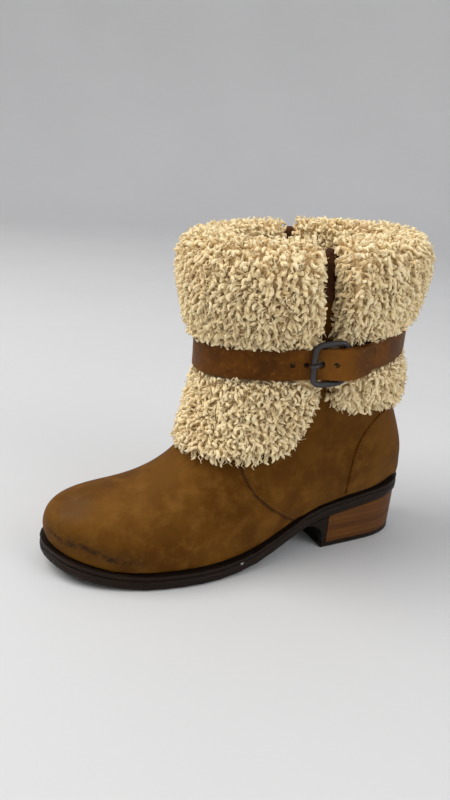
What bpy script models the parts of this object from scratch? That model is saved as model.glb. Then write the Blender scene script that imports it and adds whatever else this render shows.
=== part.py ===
"""Left ankle boot in waxed leather with a folded sheepskin cuff, strap and stacked heel.

The toe points along -X, the buckle side faces -Y and the floor is z = 0.
Every length is in metres. Stations are shares of the sole's length from the toe.
"""
import math

import bmesh
import bpy
from mathutils import Vector
from mathutils.bvhtree import BVHTree

# Driving sizes of the last and the sole
SOLE_LENGTH = 0.278
BALL_WIDTH = 0.0995
HEEL_HEIGHT = 0.036
TOE_SPRING = 0.0106
OUTSOLE_THICKNESS = 0.0068
MIDSOLE_THICKNESS = 0.0030
INSOLE_THICKNESS = 0.0030
SOLE_EDGE_RIM = 0.0036
EDGE_BEVEL = 0.0012
GROOVE_DEPTH = 0.0009
TOP_LIFT_THICKNESS = 0.0036
BALL_STATION = 0.30
BREAST_STATION = 0.712
BREAST_WALL = 0.0040
BREAST_FLARE = 0.0150
BREAST_HOLLOW = 0.0014
HEEL_TAPER = 0.0020
HEEL_TOP_INSET = 0.0014

# Driving sizes of the upper
COLLAR_HEIGHT = 0.224
UPPER_WALL = 0.0022
SEAM_STEP = 0.0009
COUNTER_THICKNESS = 0.0011

# Driving sizes of the sheepskin cuff
FUR_DEPTH = 0.0225
STRAP_BED_DEPTH = 0.0105
FOLD_RISE = 0.0085
LINING_DEPTH = 0.0085
LINING_DROP = 0.0420
TUFT_RISE = 0.0030
TUFT_DROOP = 0.0024
SLIT_GAP = 0.0110
FACING_WIDTH = 0.0080
FACING_THICKNESS = 0.0016
FACING_DROP = 0.0300

# Driving sizes of the strap and buckle. Lengths run along the strap from the buckle's middle.
STRAP_WIDTH = 0.0195
STRAP_THICKNESS = 0.0022
STRAP_HEIGHT = 0.1554
STRAP_TILT = 0.130
TAIL_LENGTH = 0.0290
FIXED_END_LENGTH = 0.0190
BUCKLE_ANGLE = -80.0
BUCKLE_BAR = 0.0034
BUCKLE_LENGTH = 0.0200
BUCKLE_SIDE_ROOM = 0.0015
BUCKLE_CORNER = 0.0045
PRONG_BAR = 0.0018
PRONG_HOLE = 0.0054
HOLE_DIAMETER = 0.0034
HOLE_SPACING = 0.0085

# Clearance between pieces that touch on the real boot
FIT_GAP = 0.0003
SKIN_GAP = 0.0008
COUNTER_GAP = 0.0011
CUFF_GAP = 0.0011
BAR_GAP = 0.0005
STRAP_GAP = 0.0008

# Steps along the sole, along the heel and across its front wall
SOLE_STEPS = 30
HEEL_STEPS = 12
BREAST_STEPS = 6

# Plan of the sole: lateral and medial edges as shares of the ball width
PLAN_COLUMNS = ("station", "lateral", "medial")
SOLE_PLAN = (
    (0.000, 0.060, 0.060),
    (0.012, -0.090, 0.211),
    (0.035, -0.201, 0.312),
    (0.080, -0.312, 0.402),
    (0.150, -0.412, 0.462),
    (0.240, -0.487, 0.487),
    (0.340, -0.513, 0.467),
    (0.450, -0.482, 0.382),
    (0.560, -0.417, 0.296),
    (0.670, -0.367, 0.261),
    (0.780, -0.352, 0.286),
    (0.880, -0.332, 0.302),
    (0.950, -0.261, 0.251),
    (0.985, -0.151, 0.151),
    (1.000, 0.000, 0.000),
)

# Height of the sole's underside: share of the toe spring and share of the heel height
UNDERSIDE_COLUMNS = ("station", "spring", "heel")
SOLE_UNDERSIDE = (
    (0.00, 1.00, 0.00),
    (0.06, 0.55, 0.00),
    (0.13, 0.20, 0.00),
    (0.22, 0.00, 0.00),
    (0.38, 0.00, 0.00),
    (0.50, 0.00, 0.11),
    (0.60, 0.00, 0.40),
    (0.66, 0.00, 0.60),
    (0.712, 0.00, 0.712),
    (1.00, 0.00, 1.00),
)

# Sections of the last. Each runs from a back or lowest point to a front or highest point.
# Front and back stations are shares of the sole's length. Front rise is a share of the
# collar's height above the sole, back rise a share of its height above the heel seat.
# Centre and widths are shares of the ball width. Widest is the share of the section's
# height where it is widest. Under below 1 fills out its lower half, and toe says how far
# the section repeats the sole's toe.
LAST_COLUMNS = (
    "front", "front_rise", "back", "back_rise",
    "centre", "lateral", "medial", "widest", "under", "toe",
)
LAST_SECTIONS = (
    (0.0144, 0.000, 0.126, 0.000, 0.060, 0.402, 0.347, 0.02, 1.00, 1.00),
    (0.0080, 0.044, 0.147, 0.000, 0.060, 0.437, 0.365, 0.06, 1.00, 0.90),
    (0.0216, 0.104, 0.176, 0.000, 0.060, 0.470, 0.384, 0.14, 1.00, 0.60),
    (0.0610, 0.155, 0.212, 0.000, 0.055, 0.500, 0.404, 0.22, 1.00, 0.30),
    (0.1290, 0.191, 0.263, 0.000, 0.040, 0.515, 0.424, 0.26, 1.00, 0.10),
    (0.1940, 0.212, 0.320, 0.000, 0.020, 0.515, 0.434, 0.28, 1.00, 0.00),
    (0.2550, 0.243, 0.385, 0.000, 0.000, 0.492, 0.424, 0.30, 1.00, 0.00),
    (0.3090, 0.290, 0.471, 0.000, -0.020, 0.452, 0.402, 0.32, 1.00, 0.00),
    (0.3490, 0.350, 0.572, 0.000, -0.040, 0.420, 0.392, 0.36, 1.00, 0.00),
    (0.3780, 0.416, 0.698, 0.000, -0.050, 0.400, 0.395, 0.42, 1.00, 0.00),
    (0.3940, 0.472, 0.842, 0.000, -0.042, 0.400, 0.400, 0.50, 0.90, 0.00),
    (0.4030, 0.523, 0.985, 0.000, -0.030, 0.390, 0.390, 0.52, 0.60, 0.00),
    (0.4100, 0.579, 0.978, 0.090, -0.030, 0.402, 0.402, 0.52, 0.62, 0.00),
    (0.4170, 0.645, 0.946, 0.240, -0.030, 0.428, 0.428, 0.52, 0.76, 0.00),
    (0.4190, 0.710, 0.906, 0.385, -0.030, 0.465, 0.465, 0.50, 0.95, 0.00),
    (0.4160, 0.790, 0.868, 0.570, -0.030, 0.500, 0.500, 0.50, 1.00, 0.00),
    (0.4070, 0.870, 0.856, 0.780, -0.030, 0.518, 0.518, 0.50, 1.00, 0.00),
    (0.4000, 0.963, 0.866, 1.000, -0.030, 0.528, 0.528, 0.50, 1.00, 0.00),
)
HEEL_BACK_ROW = 11
VAMP_SEAM_ROW = 8.40
SEAM_STEP_ROWS = 0.05
UPPER_ROWS = (
    0.0, 0.5, 1.0, 1.5, 2.0, 2.6, 3.3, 4.0, 4.8, 5.6, 6.4, 7.1, 7.8,
    VAMP_SEAM_ROW - SEAM_STEP_ROWS, VAMP_SEAM_ROW, 8.9, 9.5, 10.0, 10.4, 10.7, 10.88, 11.0,
    11.5, 12.0, 12.6, 13.3, 14.0, 15.0, 16.0, 17.0,
)
SIDE_COLUMNS = 16

# Front edge of the heel counter: height above the sole as a share of the collar's height, and
# angle from the heel's back about an upright line through the heel
COUNTER_EDGE = (
    (0.006, 121.0),
    (0.022, 121.0),
    (0.040, 120.5),
    (0.065, 120.5),
    (0.107, 120.0),
    (0.162, 119.0),
    (0.209, 117.0),
    (0.241, 114.0),
    (0.275, 106.0),
    (0.298, 97.0),
)
COUNTER_AXIS_STATION = 0.842
COUNTER_STEPS = 18

# Slits between the front and back of the cuff: angle from the front on each side, at heights
# that are shares of the collar's height
SLIT_COLUMNS = ("height", "lateral", "medial")
CUFF_SLIT = (
    (0.50, -88.0, 113.0),
    (0.57, -86.0, 111.0),
    (0.75, -80.0, 108.0),
    (1.00, -73.5, 105.0),
)

# Hem of the cuff: share of the way from a flap's middle to its edge, and height as a share
# of the collar's height
HEM_COLUMNS = ("way", "height")
FRONT_HEM = (
    (0.00, 0.385),
    (0.30, 0.375),
    (0.55, 0.378),
    (0.75, 0.395),
    (0.86, 0.422),
    (0.93, 0.472),
    (1.00, 0.562),
)
BACK_HEM = (
    (0.00, 0.512),
    (0.60, 0.522),
    (0.88, 0.540),
    (1.00, 0.570),
)

# Rows of fur: share of the way up, depth as a share of the fur depth, and strength of the
# tufts. Lower rows run from the hem to the strap and upper rows from the strap to the fold.
LOWER_FUR = (
    (0.00, 0.22, 0.3),
    (0.14, 0.42, 1.0),
    (0.36, 0.58, 1.0),
    (0.58, 0.66, 1.0),
    (0.80, 0.66, 0.8),
)
UPPER_FUR = (
    (0.12, 0.80, 0.8),
    (0.30, 0.92, 1.0),
    (0.48, 0.98, 1.0),
    (0.66, 1.00, 1.0),
    (0.84, 1.00, 1.0),
)

# Points of a fold over the collar: share of the half turn outside, share of the way across
# the collar inside
FOLD_ARC = (
    (0.20, 0.0),
    (0.50, 0.5),
    (0.80, 1.0),
)
CUFF_FOLD_STEPS = 3
FACING_FOLD_STEPS = 2
FACING_ROWS = (0.0, 0.5, 0.97)
FRONT_TUFT_COLUMNS = 26
BACK_TUFT_COLUMNS = 22

# How far round the buckle the fur lies flat, how fast it rises beyond, and how far it swells
# beside the strap, as shares of the buckle's length and of the fur depth
BUCKLE_REACH = 1.35
BUCKLE_FADE = 0.40
STRAP_SQUEEZE = 0.20

# The strap's path. Ways along it are sums of shares of half the buckle's length, of the fixed
# end's length and of the tail's length. Levels are sums of shares of the turn round the bar
# and of one layer of strap. Each row gives its bar, end, tail, turn and layer shares.
STRAP_START = (
    (1.00, 0.70, 0.00, 0.00, 0.00),
    (1.00, 0.20, 0.00, 0.00, 0.00),
)
STRAP_OVER_END = (
    (1.00, 0.20, 0.00, 0.90, 0.00),
    (1.00, 0.42, 0.00, 0.00, 1.25),
    (1.00, 0.72, 0.00, 0.00, 1.00),
    (1.00, 1.00, 0.00, 0.00, 0.35),
    (1.00, 1.25, 0.00, 0.00, 0.00),
)
STRAP_TAIL = (
    (-1.00, 0.00, 0.00, 0.00, 0.00),
    (-0.60, 0.00, 0.00, 0.14, 0.00),
    (0.00, 0.00, 0.00, 0.58, 0.00),
    (0.50, 0.00, 0.00, 1.06, 0.00),
    (1.00, 0.00, 0.00, 1.00, 1.00),
    (1.00, 0.24, 0.00, 0.94, 1.00),
    (1.00, 0.44, 0.00, 0.00, 2.55),
    (1.00, 0.72, 0.00, 0.00, 2.12),
    (0.00, 0.00, 0.93, 0.00, 1.75),
    (0.00, 0.00, 1.00, 0.00, 1.70),
)
STRAP_STEPS = 52
TURN_STEPS = 6

# The strap is laid out round the cuff in steps of this angle
RING_STEP = 2.0

# The tail's rounded tip: its length and its blunt end as shares of the strap's width
TAIL_ROUNDING = 0.32
TAIL_BLUNT = 0.55

# The prong's path: shares of the way to its root, of the hole's way and of the hole's size,
# then shares of the frame's level and of the level at which it rests on the frame
PRONG_ROUTE = (
    (1.00, 0.0, 0.00, 1.00, 0.00),
    (0.35, 0.0, 0.00, 0.45, 0.00),
    (0.00, 1.0, 0.66, 0.06, 0.00),
    (0.00, 1.0, 0.28, 0.12, 0.00),
    (0.00, 1.0, 0.00, 0.55, 0.00),
    (0.00, 1.0, -0.22, 1.25, 0.00),
    (0.00, 1.0, -0.50, 0.00, 0.93),
    (0.00, 1.0, -0.82, 0.00, 1.00),
    (0.00, 1.0, -1.29, 0.00, 0.95),
)


def column(table, names, name):
    """One named column of a table, as a list."""
    at = names.index(name)
    return [row[at] for row in table]


def smooth_between(keys, values, key):
    """Smooth interpolation through a table that never overshoots between two rows."""
    if key <= keys[0]:
        return values[0]
    if key >= keys[-1]:
        return values[-1]
    steps = [b - a for a, b in zip(keys, keys[1:])]
    rates = [(b - a) / step for a, b, step in zip(values, values[1:], steps)]
    slopes = [rates[0]]
    for before, after in zip(rates, rates[1:]):
        product = before * after
        slopes.append(2 * product / (before + after) if product > 0 else 0.0)
    slopes.append(rates[-1])
    at = max(i for i, start in enumerate(keys[:-1]) if start <= key)
    t = (key - keys[at]) / steps[at]
    rise = values[at + 1] - values[at]
    left = slopes[at] * steps[at] - rise
    right = rise - slopes[at + 1] * steps[at]
    return values[at] + rise * t + t * (1 - t) * (left * (1 - t) + right * t)


def table_value(table, names, name, key):
    """Value of a named column at a key of the table's first column."""
    return smooth_between(column(table, names, names[0]), column(table, names, name), key)


def mix(first, second, share):
    return first + (second - first) * share


def ease(share):
    """Smooth step from 0 to 1."""
    share = min(max(share, 0.0), 1.0)
    return share * share * (3 - 2 * share)


def station_x(station):
    return (station - 0.5) * SOLE_LENGTH


def underside(x):
    """Height of the sole's underside above the floor."""
    station = x / SOLE_LENGTH + 0.5
    spring = table_value(SOLE_UNDERSIDE, UNDERSIDE_COLUMNS, "spring", station)
    heel = table_value(SOLE_UNDERSIDE, UNDERSIDE_COLUMNS, "heel", station)
    return spring * TOE_SPRING + heel * HEEL_HEIGHT


def sole_top(x):
    """Height of the midsole's upper face, on which the upper stands."""
    return underside(x) + OUTSOLE_THICKNESS + FIT_GAP + MIDSOLE_THICKNESS


def plan_edge(station, side):
    """Point of the sole's edge in plan, on the side named lateral or medial."""
    share = smooth_between(
        [math.sqrt(min(s, 1 - s) / 0.5) * (1 if s < 0.5 else -1) + (0 if s < 0.5 else 2)
         for s in column(SOLE_PLAN, PLAN_COLUMNS, "station")],
        column(SOLE_PLAN, PLAN_COLUMNS, side),
        math.sqrt(min(station, 1 - station) / 0.5) * (1 if station < 0.5 else -1)
        + (0 if station < 0.5 else 2),
    )
    return Vector((station_x(station), share * BALL_WIDTH))


def round_stations(count, first=0.0, last=1.0):
    """Stations that crowd towards the toe tip and the heel tip."""
    start = math.acos(1 - 2 * first)
    end = math.acos(1 - 2 * last)
    return [0.5 - 0.5 * math.cos(mix(start, end, i / count)) for i in range(count + 1)]


def inset_edge(station, side, inset):
    """Point of the sole's edge moved inwards by a distance along the edge's normal."""
    reach = 0.0005
    before = max(station - reach, 0.0)
    after = min(station + reach, 1.0)
    run = plan_edge(after, side) - plan_edge(before, side)
    if station <= 0.0:
        run = Vector((0.0, -1.0 if side == "lateral" else 1.0))
    if station >= 1.0:
        run = Vector((0.0, 1.0 if side == "lateral" else -1.0))
    run.normalize()
    inward = Vector((-run.y, run.x)) if side == "lateral" else Vector((run.y, -run.x))
    return plan_edge(station, side) + inward * inset


def feather_line(side, count=60):
    """Plan of the line where the upper meets the sole, from the toe to the heel."""
    return [inset_edge(s, side, SOLE_EDGE_RIM) for s in round_stations(count)]


def along(points, x):
    """Y of a line of plan points at an X, held at the line's two ends."""
    if x <= points[0].x:
        return points[0].y
    for first, second in zip(points, points[1:]):
        if first.x <= x <= second.x and second.x > first.x:
            return mix(first.y, second.y, (x - first.x) / (second.x - first.x))
    return points[-1].y


FEATHER = {side: feather_line(side) for side in ("lateral", "medial")}


def last_value(name, row):
    """A column of the last's sections at any row, joined by a smooth curve."""
    values = column(LAST_SECTIONS, LAST_COLUMNS, name)
    at = min(int(row), len(values) - 2)
    t = row - at
    here, there = values[at], values[at + 1]
    before = values[at - 1] if at > 0 else here - (there - here)
    beyond = values[at + 2] if at + 2 < len(values) else there + (there - here)
    lead = 0.5 * (there - before)
    trail = 0.5 * (beyond - here)
    return (
        here * (2 * t ** 3 - 3 * t ** 2 + 1) + lead * (t ** 3 - 2 * t ** 2 + t)
        + there * (3 * t ** 2 - 2 * t ** 3) + trail * (t ** 3 - t ** 2)
    )


def section_ends(row):
    """Back or lowest point and front or highest point of a section, as (x, z) pairs."""
    ball_top = sole_top(station_x(BALL_STATION))
    heel_seat = sole_top(station_x(1.0))
    front_x = station_x(last_value("front", row))
    front_rise = last_value("front_rise", row) * (COLLAR_HEIGHT - ball_top)
    front = Vector((front_x, sole_top(front_x) + SKIN_GAP + front_rise))
    back_x = station_x(last_value("back", row))
    back = Vector((back_x, sole_top(back_x) + SKIN_GAP))
    if row > HEEL_BACK_ROW:
        back.y = heel_seat + SKIN_GAP + last_value("back_rise", row) * (COLLAR_HEIGHT - heel_seat)
    return back, front


def toe_share(share, side):
    """How wide the feather line is at a share of the first section, against its base."""
    back, front = section_ends(0.0)
    centre = last_value("centre", 0.0) * BALL_WIDTH
    here = abs(along(FEATHER[side], mix(back.x, front.x, share)) - centre)
    return here / abs(along(FEATHER[side], back.x) - centre)


def last_point(row, around):
    """Point on the upper's outside. Around runs from -1, the lateral base, over 0 to 1."""
    side = "lateral" if around < 0 else "medial"
    sign = -1.0 if around < 0 else 1.0
    back, front = section_ends(row)
    centre = last_value("centre", row) * BALL_WIDTH
    widest = last_value(side, row) * BALL_WIDTH
    toe = last_value("toe", row)
    base = 0.0
    if row < HEEL_BACK_ROW:
        base = abs(along(FEATHER[side], back.x) - centre)
    widest = max(widest, base)
    under = last_value("under", row)
    lean = math.acos(min((base / widest) ** (1 / under), 1.0))
    turn = mix(-lean, math.pi / 2, 1 - abs(around))
    middle = last_value("widest", row)
    if turn < 0:
        share = middle * (1 + math.sin(turn) / math.sin(lean))
        width = widest * math.cos(turn) ** under
    else:
        share = mix(middle if lean > 0 else 0.0, 1.0, math.sin(turn))
        width = widest * math.cos(turn)
    if toe > 0:
        width = mix(width, widest * toe_share(share, side), toe)
    if row <= 0:
        width = base * toe_share(share, side)
    flat = back + (front - back) * share
    height = sole_top(flat.x) + SKIN_GAP if row <= 0 else flat.y
    return Vector((flat.x, centre + sign * width, height))


def clear_scene():
    for item in list(bpy.data.objects):
        bpy.data.objects.remove(item, do_unlink=True)


def new_collection(name):
    made = bpy.data.collections.new(name)
    bpy.context.scene.collection.children.link(made)
    return made


def principled(name, colour, roughness, metallic=0.0):
    made = bpy.data.materials.new(name)
    made.use_nodes = True
    shader = made.node_tree.nodes["Principled BSDF"]
    shader.inputs["Base Color"].default_value = (*colour, 1.0)
    shader.inputs["Roughness"].default_value = roughness
    shader.inputs["Metallic"].default_value = metallic
    return made


def face_outward(bm, inside):
    """Points an open surface's faces away from a point that it goes round."""
    bmesh.ops.recalc_face_normals(bm, faces=bm.faces)
    bm.normal_update()
    facing = sum(face.normal.dot(face.calc_center_median() - inside) for face in bm.faces)
    if facing < 0:
        bmesh.ops.reverse_faces(bm, faces=bm.faces)
        bm.normal_update()


def finish_object(name, bm, material, collection):
    """Turns a closed bmesh into an object with outward faces and smooth round stretches."""
    bmesh.ops.recalc_face_normals(bm, faces=bm.faces)
    return finish_open(name, bm, material, collection)


def finish_open(name, bm, material, collection, smooth_angle=35.0):
    """Turns a bmesh into an object, with its faces left as they point."""
    mesh = bpy.data.meshes.new(name)
    bm.to_mesh(mesh)
    bm.free()
    mesh.shade_smooth()
    mesh.set_sharp_from_angle(angle=math.radians(smooth_angle))
    mesh.materials.append(material)
    made = bpy.data.objects.new(name, mesh)
    collection.objects.link(made)
    return made


def join_rows(bm, first, second, closed):
    """Quads between two rows of vertices, skipping an edge that both rows share."""
    count = len(first)
    for i in range(count if closed else count - 1):
        corners = []
        for vertex in (first[i], first[(i + 1) % count], second[(i + 1) % count], second[i]):
            if vertex not in corners:
                corners.append(vertex)
        if len(corners) > 2:
            bm.faces.new(corners)


def plan_ring(stations, inset):
    """Closed ring in plan: lateral edge to the heel, then the medial edge back to the toe."""
    lateral = [inset_edge(s, "lateral", inset) for s in stations]
    medial = [inset_edge(s, "medial", inset) for s in reversed(stations)]
    if stations[-1] >= 1.0:
        medial = medial[1:]
    if stations[0] <= 0.0:
        medial = medial[:-1]
    return lateral + medial


def close_plate(bm, ring, stations):
    """Closes a ring with strips from its lateral to its medial edge."""
    count = len(ring)
    open_toe = 0 if stations[0] <= 0.0 else 1
    for i in range(len(stations) - 1):
        corners = []
        for at in (i, i + 1, -i - 1 - open_toe, -i - open_toe):
            vertex = ring[at % count]
            if vertex not in corners:
                corners.append(vertex)
        bm.faces.new(corners)


def sole_plate(name, stations, levels, material, collection):
    """A plate of the sole. Each level is an inset and a function from X to height."""
    bm = bmesh.new()
    rings = []
    for inset, height in levels:
        ring = plan_ring(stations, inset)
        rings.append([bm.verts.new((p.x, p.y, height(p.x))) for p in ring])
    for lower, upper in zip(rings, rings[1:]):
        join_rows(bm, lower, upper, closed=True)
    close_plate(bm, rings[0], stations)
    close_plate(bm, rings[-1], stations)
    return finish_object(name, bm, material, collection)


def make_outsole(material, collection):
    side_top = OUTSOLE_THICKNESS - GROOVE_DEPTH
    levels = (
        (2 * EDGE_BEVEL, underside),
        (0.4 * EDGE_BEVEL, lambda x: underside(x) + 0.6 * EDGE_BEVEL),
        (0.0, lambda x: underside(x) + 1.6 * EDGE_BEVEL),
        (0.0, lambda x: underside(x) + side_top - GROOVE_DEPTH),
        (GROOVE_DEPTH, lambda x: underside(x) + side_top),
        (GROOVE_DEPTH, lambda x: underside(x) + OUTSOLE_THICKNESS),
    )
    return sole_plate("outsole", round_stations(SOLE_STEPS), levels, material, collection)


def make_midsole(material, collection):
    low = OUTSOLE_THICKNESS + FIT_GAP
    levels = (
        (GROOVE_DEPTH, lambda x: underside(x) + low),
        (0.2 * GROOVE_DEPTH, lambda x: underside(x) + low + GROOVE_DEPTH),
        (0.2 * GROOVE_DEPTH, lambda x: sole_top(x) - 0.5 * GROOVE_DEPTH),
        (0.8 * GROOVE_DEPTH, sole_top),
    )
    return sole_plate("midsole", round_stations(SOLE_STEPS), levels, material, collection)


def make_insole(material, collection):
    inset = SOLE_EDGE_RIM + UPPER_WALL + 6 * FIT_GAP
    levels = (
        (inset, lambda x: sole_top(x) + FIT_GAP),
        (inset, lambda x: sole_top(x) + FIT_GAP + 0.7 * INSOLE_THICKNESS),
        (inset + 0.4 * INSOLE_THICKNESS, lambda x: sole_top(x) + FIT_GAP + INSOLE_THICKNESS),
    )
    return sole_plate("insole", round_stations(SOLE_STEPS), levels, material, collection)


def make_heel(stack_material, rubber, collection):
    """Stacked heel, the rubber piece under it and the rubber wall over its front."""
    stack_front = BREAST_STATION + (BREAST_WALL + FIT_GAP) / SOLE_LENGTH
    bottom = TOP_LIFT_THICKNESS + FIT_GAP
    levels = (
        (HEEL_TAPER, lambda x: bottom),
        (0.5 * (HEEL_TAPER + HEEL_TOP_INSET), lambda x: 0.5 * (bottom + underside(x))),
        (HEEL_TOP_INSET, lambda x: underside(x) - FIT_GAP),
    )
    stations = round_stations(HEEL_STEPS, stack_front)
    sole_plate("heel_stack", stations, levels, stack_material, collection)
    lift_levels = (
        (HEEL_TAPER + 0.5 * EDGE_BEVEL, lambda x: 0.0),
        (HEEL_TAPER - 0.1 * EDGE_BEVEL, lambda x: 0.5 * EDGE_BEVEL),
        (HEEL_TAPER - 0.1 * EDGE_BEVEL, lambda x: TOP_LIFT_THICKNESS),
    )
    stations = round_stations(HEEL_STEPS, BREAST_STATION)
    sole_plate("top_lift", stations, lift_levels, rubber, collection)
    make_breast(bottom, rubber, collection)


def make_breast(bottom, rubber, collection):
    """Rubber wall in front of the stack, flaring forward into the waist of the sole."""
    bm = bmesh.new()
    steps = BREAST_STEPS
    across = BREAST_STEPS
    rings = []
    back_x = station_x(BREAST_STATION) + BREAST_WALL
    for i in range(steps + 1):
        share = i / steps
        front_x = station_x(BREAST_STATION) - BREAST_FLARE * share ** 3
        ring = []
        for x, order in ((front_x, range(across + 1)), (back_x, range(across, -1, -1))):
            station = x / SOLE_LENGTH + 0.5
            inset = mix(HEEL_TAPER, HEEL_TOP_INSET, share)
            lateral = inset_edge(station, "lateral", inset)
            medial = inset_edge(station, "medial", inset)
            for j in order:
                y = mix(lateral.y, medial.y, j / across)
                hollow = 0.0
                if order.step > 0:
                    hollow = BREAST_HOLLOW * (1 - (2 * j / across - 1) ** 2)
                top = underside(x + hollow) - FIT_GAP
                ring.append(bm.verts.new((x + hollow, y, mix(bottom, top, share))))
        rings.append(ring)
    for lower, upper in zip(rings, rings[1:]):
        join_rows(bm, lower, upper, closed=True)
    for ring in (rings[0], rings[-1]):
        count = len(ring)
        for j in range(across):
            bm.faces.new((ring[j], ring[j + 1], ring[count - 2 - j], ring[count - 1 - j]))
    finish_object("heel_breast", bm, rubber, collection)


def upper_grid(bm):
    """Rows of vertices over the whole last. The rings above the heel are closed."""
    lines = []
    for row in UPPER_ROWS:
        points = upper_line(row)
        if row >= HEEL_BACK_ROW:
            line = [bm.verts.new(p) for p in points[:-1]]
            line.append(line[0])
        else:
            line = [bm.verts.new(p) for p in points]
        lines.append(line)
    return lines


def swell(points, distance, row):
    """Moves a section's points outwards in its own plane."""
    back, front = section_ends(row)
    closed = row >= HEEL_BACK_ROW
    rise = (front - back).normalized()
    moved = []
    count = len(points)
    for i, point in enumerate(points):
        before = points[(i - 1) % count] if closed else points[max(i - 1, 0)]
        after = points[(i + 1) % count] if closed else points[min(i + 1, count - 1)]
        run = after - before
        along_rise = run.x * rise.x + run.z * rise.y
        normal = Vector((-run.y * rise.x, along_rise, -run.y * rise.y)) * -1
        normal.normalize()
        if not closed and i in (0, count - 1):
            normal.z = 0.0
            normal.x = 0.0
            normal.normalize()
        moved.append(point + normal * distance)
    return moved


def make_upper(material, collection):
    """Hollow upper, open at the collar and underneath, with a raised edge at the vamp seam.

    Returns its outside as a search tree, for the pieces that lie on it.
    """
    bm = bmesh.new()
    lines = upper_grid(bm)
    for lower, upper in zip(lines, lines[1:]):
        join_rows(bm, lower, upper, closed=False)
    face_outward(bm, Vector((station_x(0.7), 0.0, 0.5 * COLLAR_HEIGHT)))
    skin = BVHTree.FromBMesh(bm)
    made = finish_open("upper", bm, material, collection)
    wall = made.modifiers.new("wall", "SOLIDIFY")
    wall.thickness = UPPER_WALL
    wall.offset = -1.0
    wall.use_quality_normals = True
    return skin


def upper_line(row):
    """Points of the upper's outside along one row, from the lateral to the medial base."""
    points = [last_point(row, i / SIDE_COLUMNS - 1) for i in range(2 * SIDE_COLUMNS + 1)]
    closed = row >= HEEL_BACK_ROW
    if closed:
        points = points[:-1]
    if row >= VAMP_SEAM_ROW:
        points = swell(points, SEAM_STEP, row)
    if closed:
        points.append(points[0])
    return points


def heel_reach(skin, angle, height):
    """Distance from the upright line through the heel to the upper's outside."""
    centre = last_value("centre", HEEL_BACK_ROW) * BALL_WIDTH
    axis = Vector((station_x(COUNTER_AXIS_STATION), centre, height))
    way = Vector((math.cos(angle), math.sin(angle), 0.0))
    hit = skin.ray_cast(axis + way * SOLE_LENGTH, -way)
    return axis, way, SOLE_LENGTH - hit[3]


def counter_column(skin, angle_share, step):
    """Paired outer and inner points of the counter, clear of the upper half a step around."""
    outer = []
    inner = []
    for share, edge in COUNTER_EDGE:
        angle = math.radians(edge) * angle_share
        height = sole_top(station_x(1.0))
        for _ in range(3):
            axis, way, reach = heel_reach(skin, angle, height)
            height = sole_top(axis.x + way.x * reach) + SKIN_GAP + share * COLLAR_HEIGHT
        for turn in (-0.5, -0.25, 0.25, 0.5):
            beside = heel_reach(skin, angle + turn * step * math.radians(edge), height)
            reach = max(reach, beside[2])
        axis.z = height
        inner.append(axis + way * (reach + COUNTER_GAP))
        outer.append(axis + way * (reach + COUNTER_GAP + COUNTER_THICKNESS))
    return outer, inner


def make_counter(skin, material, collection):
    """Heel counter: a leather overlay round the heel, just outside the upper."""
    step = 2 / COUNTER_STEPS
    columns = [counter_column(skin, i * step - 1, step) for i in range(COUNTER_STEPS + 1)]
    folded_solid("heel_counter", columns, material, collection)


def shaft_axis(height):
    """Middle of the shaft, from which angles are measured. Zero is the front."""
    centre = last_value("centre", len(LAST_SECTIONS) - 1.0) * BALL_WIDTH
    front = last_value("front", len(LAST_SECTIONS) - 1.0)
    back = last_value("back", len(LAST_SECTIONS) - 1.0)
    return Vector((station_x(0.5 * (front + back)), centre, height))


def outward(angle):
    """Level direction at an angle in degrees: 0 is the front, -90 lateral, 90 medial."""
    turn = math.radians(angle)
    return Vector((-math.cos(turn), math.sin(turn), 0.0))


def shaft_radius(skin, angle, height):
    """Distance from the shaft's axis to the upper's outside."""
    top = collar_height(angle)
    axis = shaft_axis(min(height, top - SKIN_GAP))
    reach = SOLE_LENGTH
    hit = skin.ray_cast(axis + outward(angle) * reach, -outward(angle))
    return reach - hit[3]


def collar_height(angle):
    """Height of the collar, which slopes from the back down to the front."""
    back, front = section_ends(len(LAST_SECTIONS) - 1.0)
    share = 0.5 - 0.5 * outward(angle).x
    return mix(back.y, front.y, share)


def strap_height(skin, angle):
    """Height of the strap's middle line, which slopes down to the front."""
    height = STRAP_HEIGHT
    for _ in range(3):
        radius = shaft_radius(skin, angle, height) + STRAP_BED_DEPTH
        height = STRAP_HEIGHT + STRAP_TILT * outward(angle).x * radius
    return height


def slit_angle(side, height):
    return table_value(CUFF_SLIT, SLIT_COLUMNS, side, height / COLLAR_HEIGHT)


def slit_room(skin, side, height, width):
    """Half of a width across a slit, as an angle."""
    return math.degrees(0.5 * width / shaft_radius(skin, slit_angle(side, height), height))


def flap_angle(skin, flap, way, height):
    """Angle at a share of the way between a flap's two edges, from -1 to 1."""
    lateral = slit_angle("lateral", height)
    medial = slit_angle("medial", height)
    lateral_room = slit_room(skin, "lateral", height, SLIT_GAP)
    medial_room = slit_room(skin, "medial", height, SLIT_GAP)
    if flap == "front":
        return mix(lateral + lateral_room, medial - medial_room, 0.5 + 0.5 * way)
    return mix(medial + medial_room, 360 + lateral - lateral_room, 0.5 + 0.5 * way)


def join_tufts(bm, first, second, turned):
    """Triangles between two columns, with the creases along the points that stand lower."""
    for i in range(len(first) - 1):
        a, b, c, d = first[i], first[i + 1], second[i + 1], second[i]
        if (i + turned) % 2:
            bm.faces.new((a, b, d))
            bm.faces.new((b, c, d))
        else:
            bm.faces.new((a, b, c))
            bm.faces.new((a, c, d))


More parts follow.
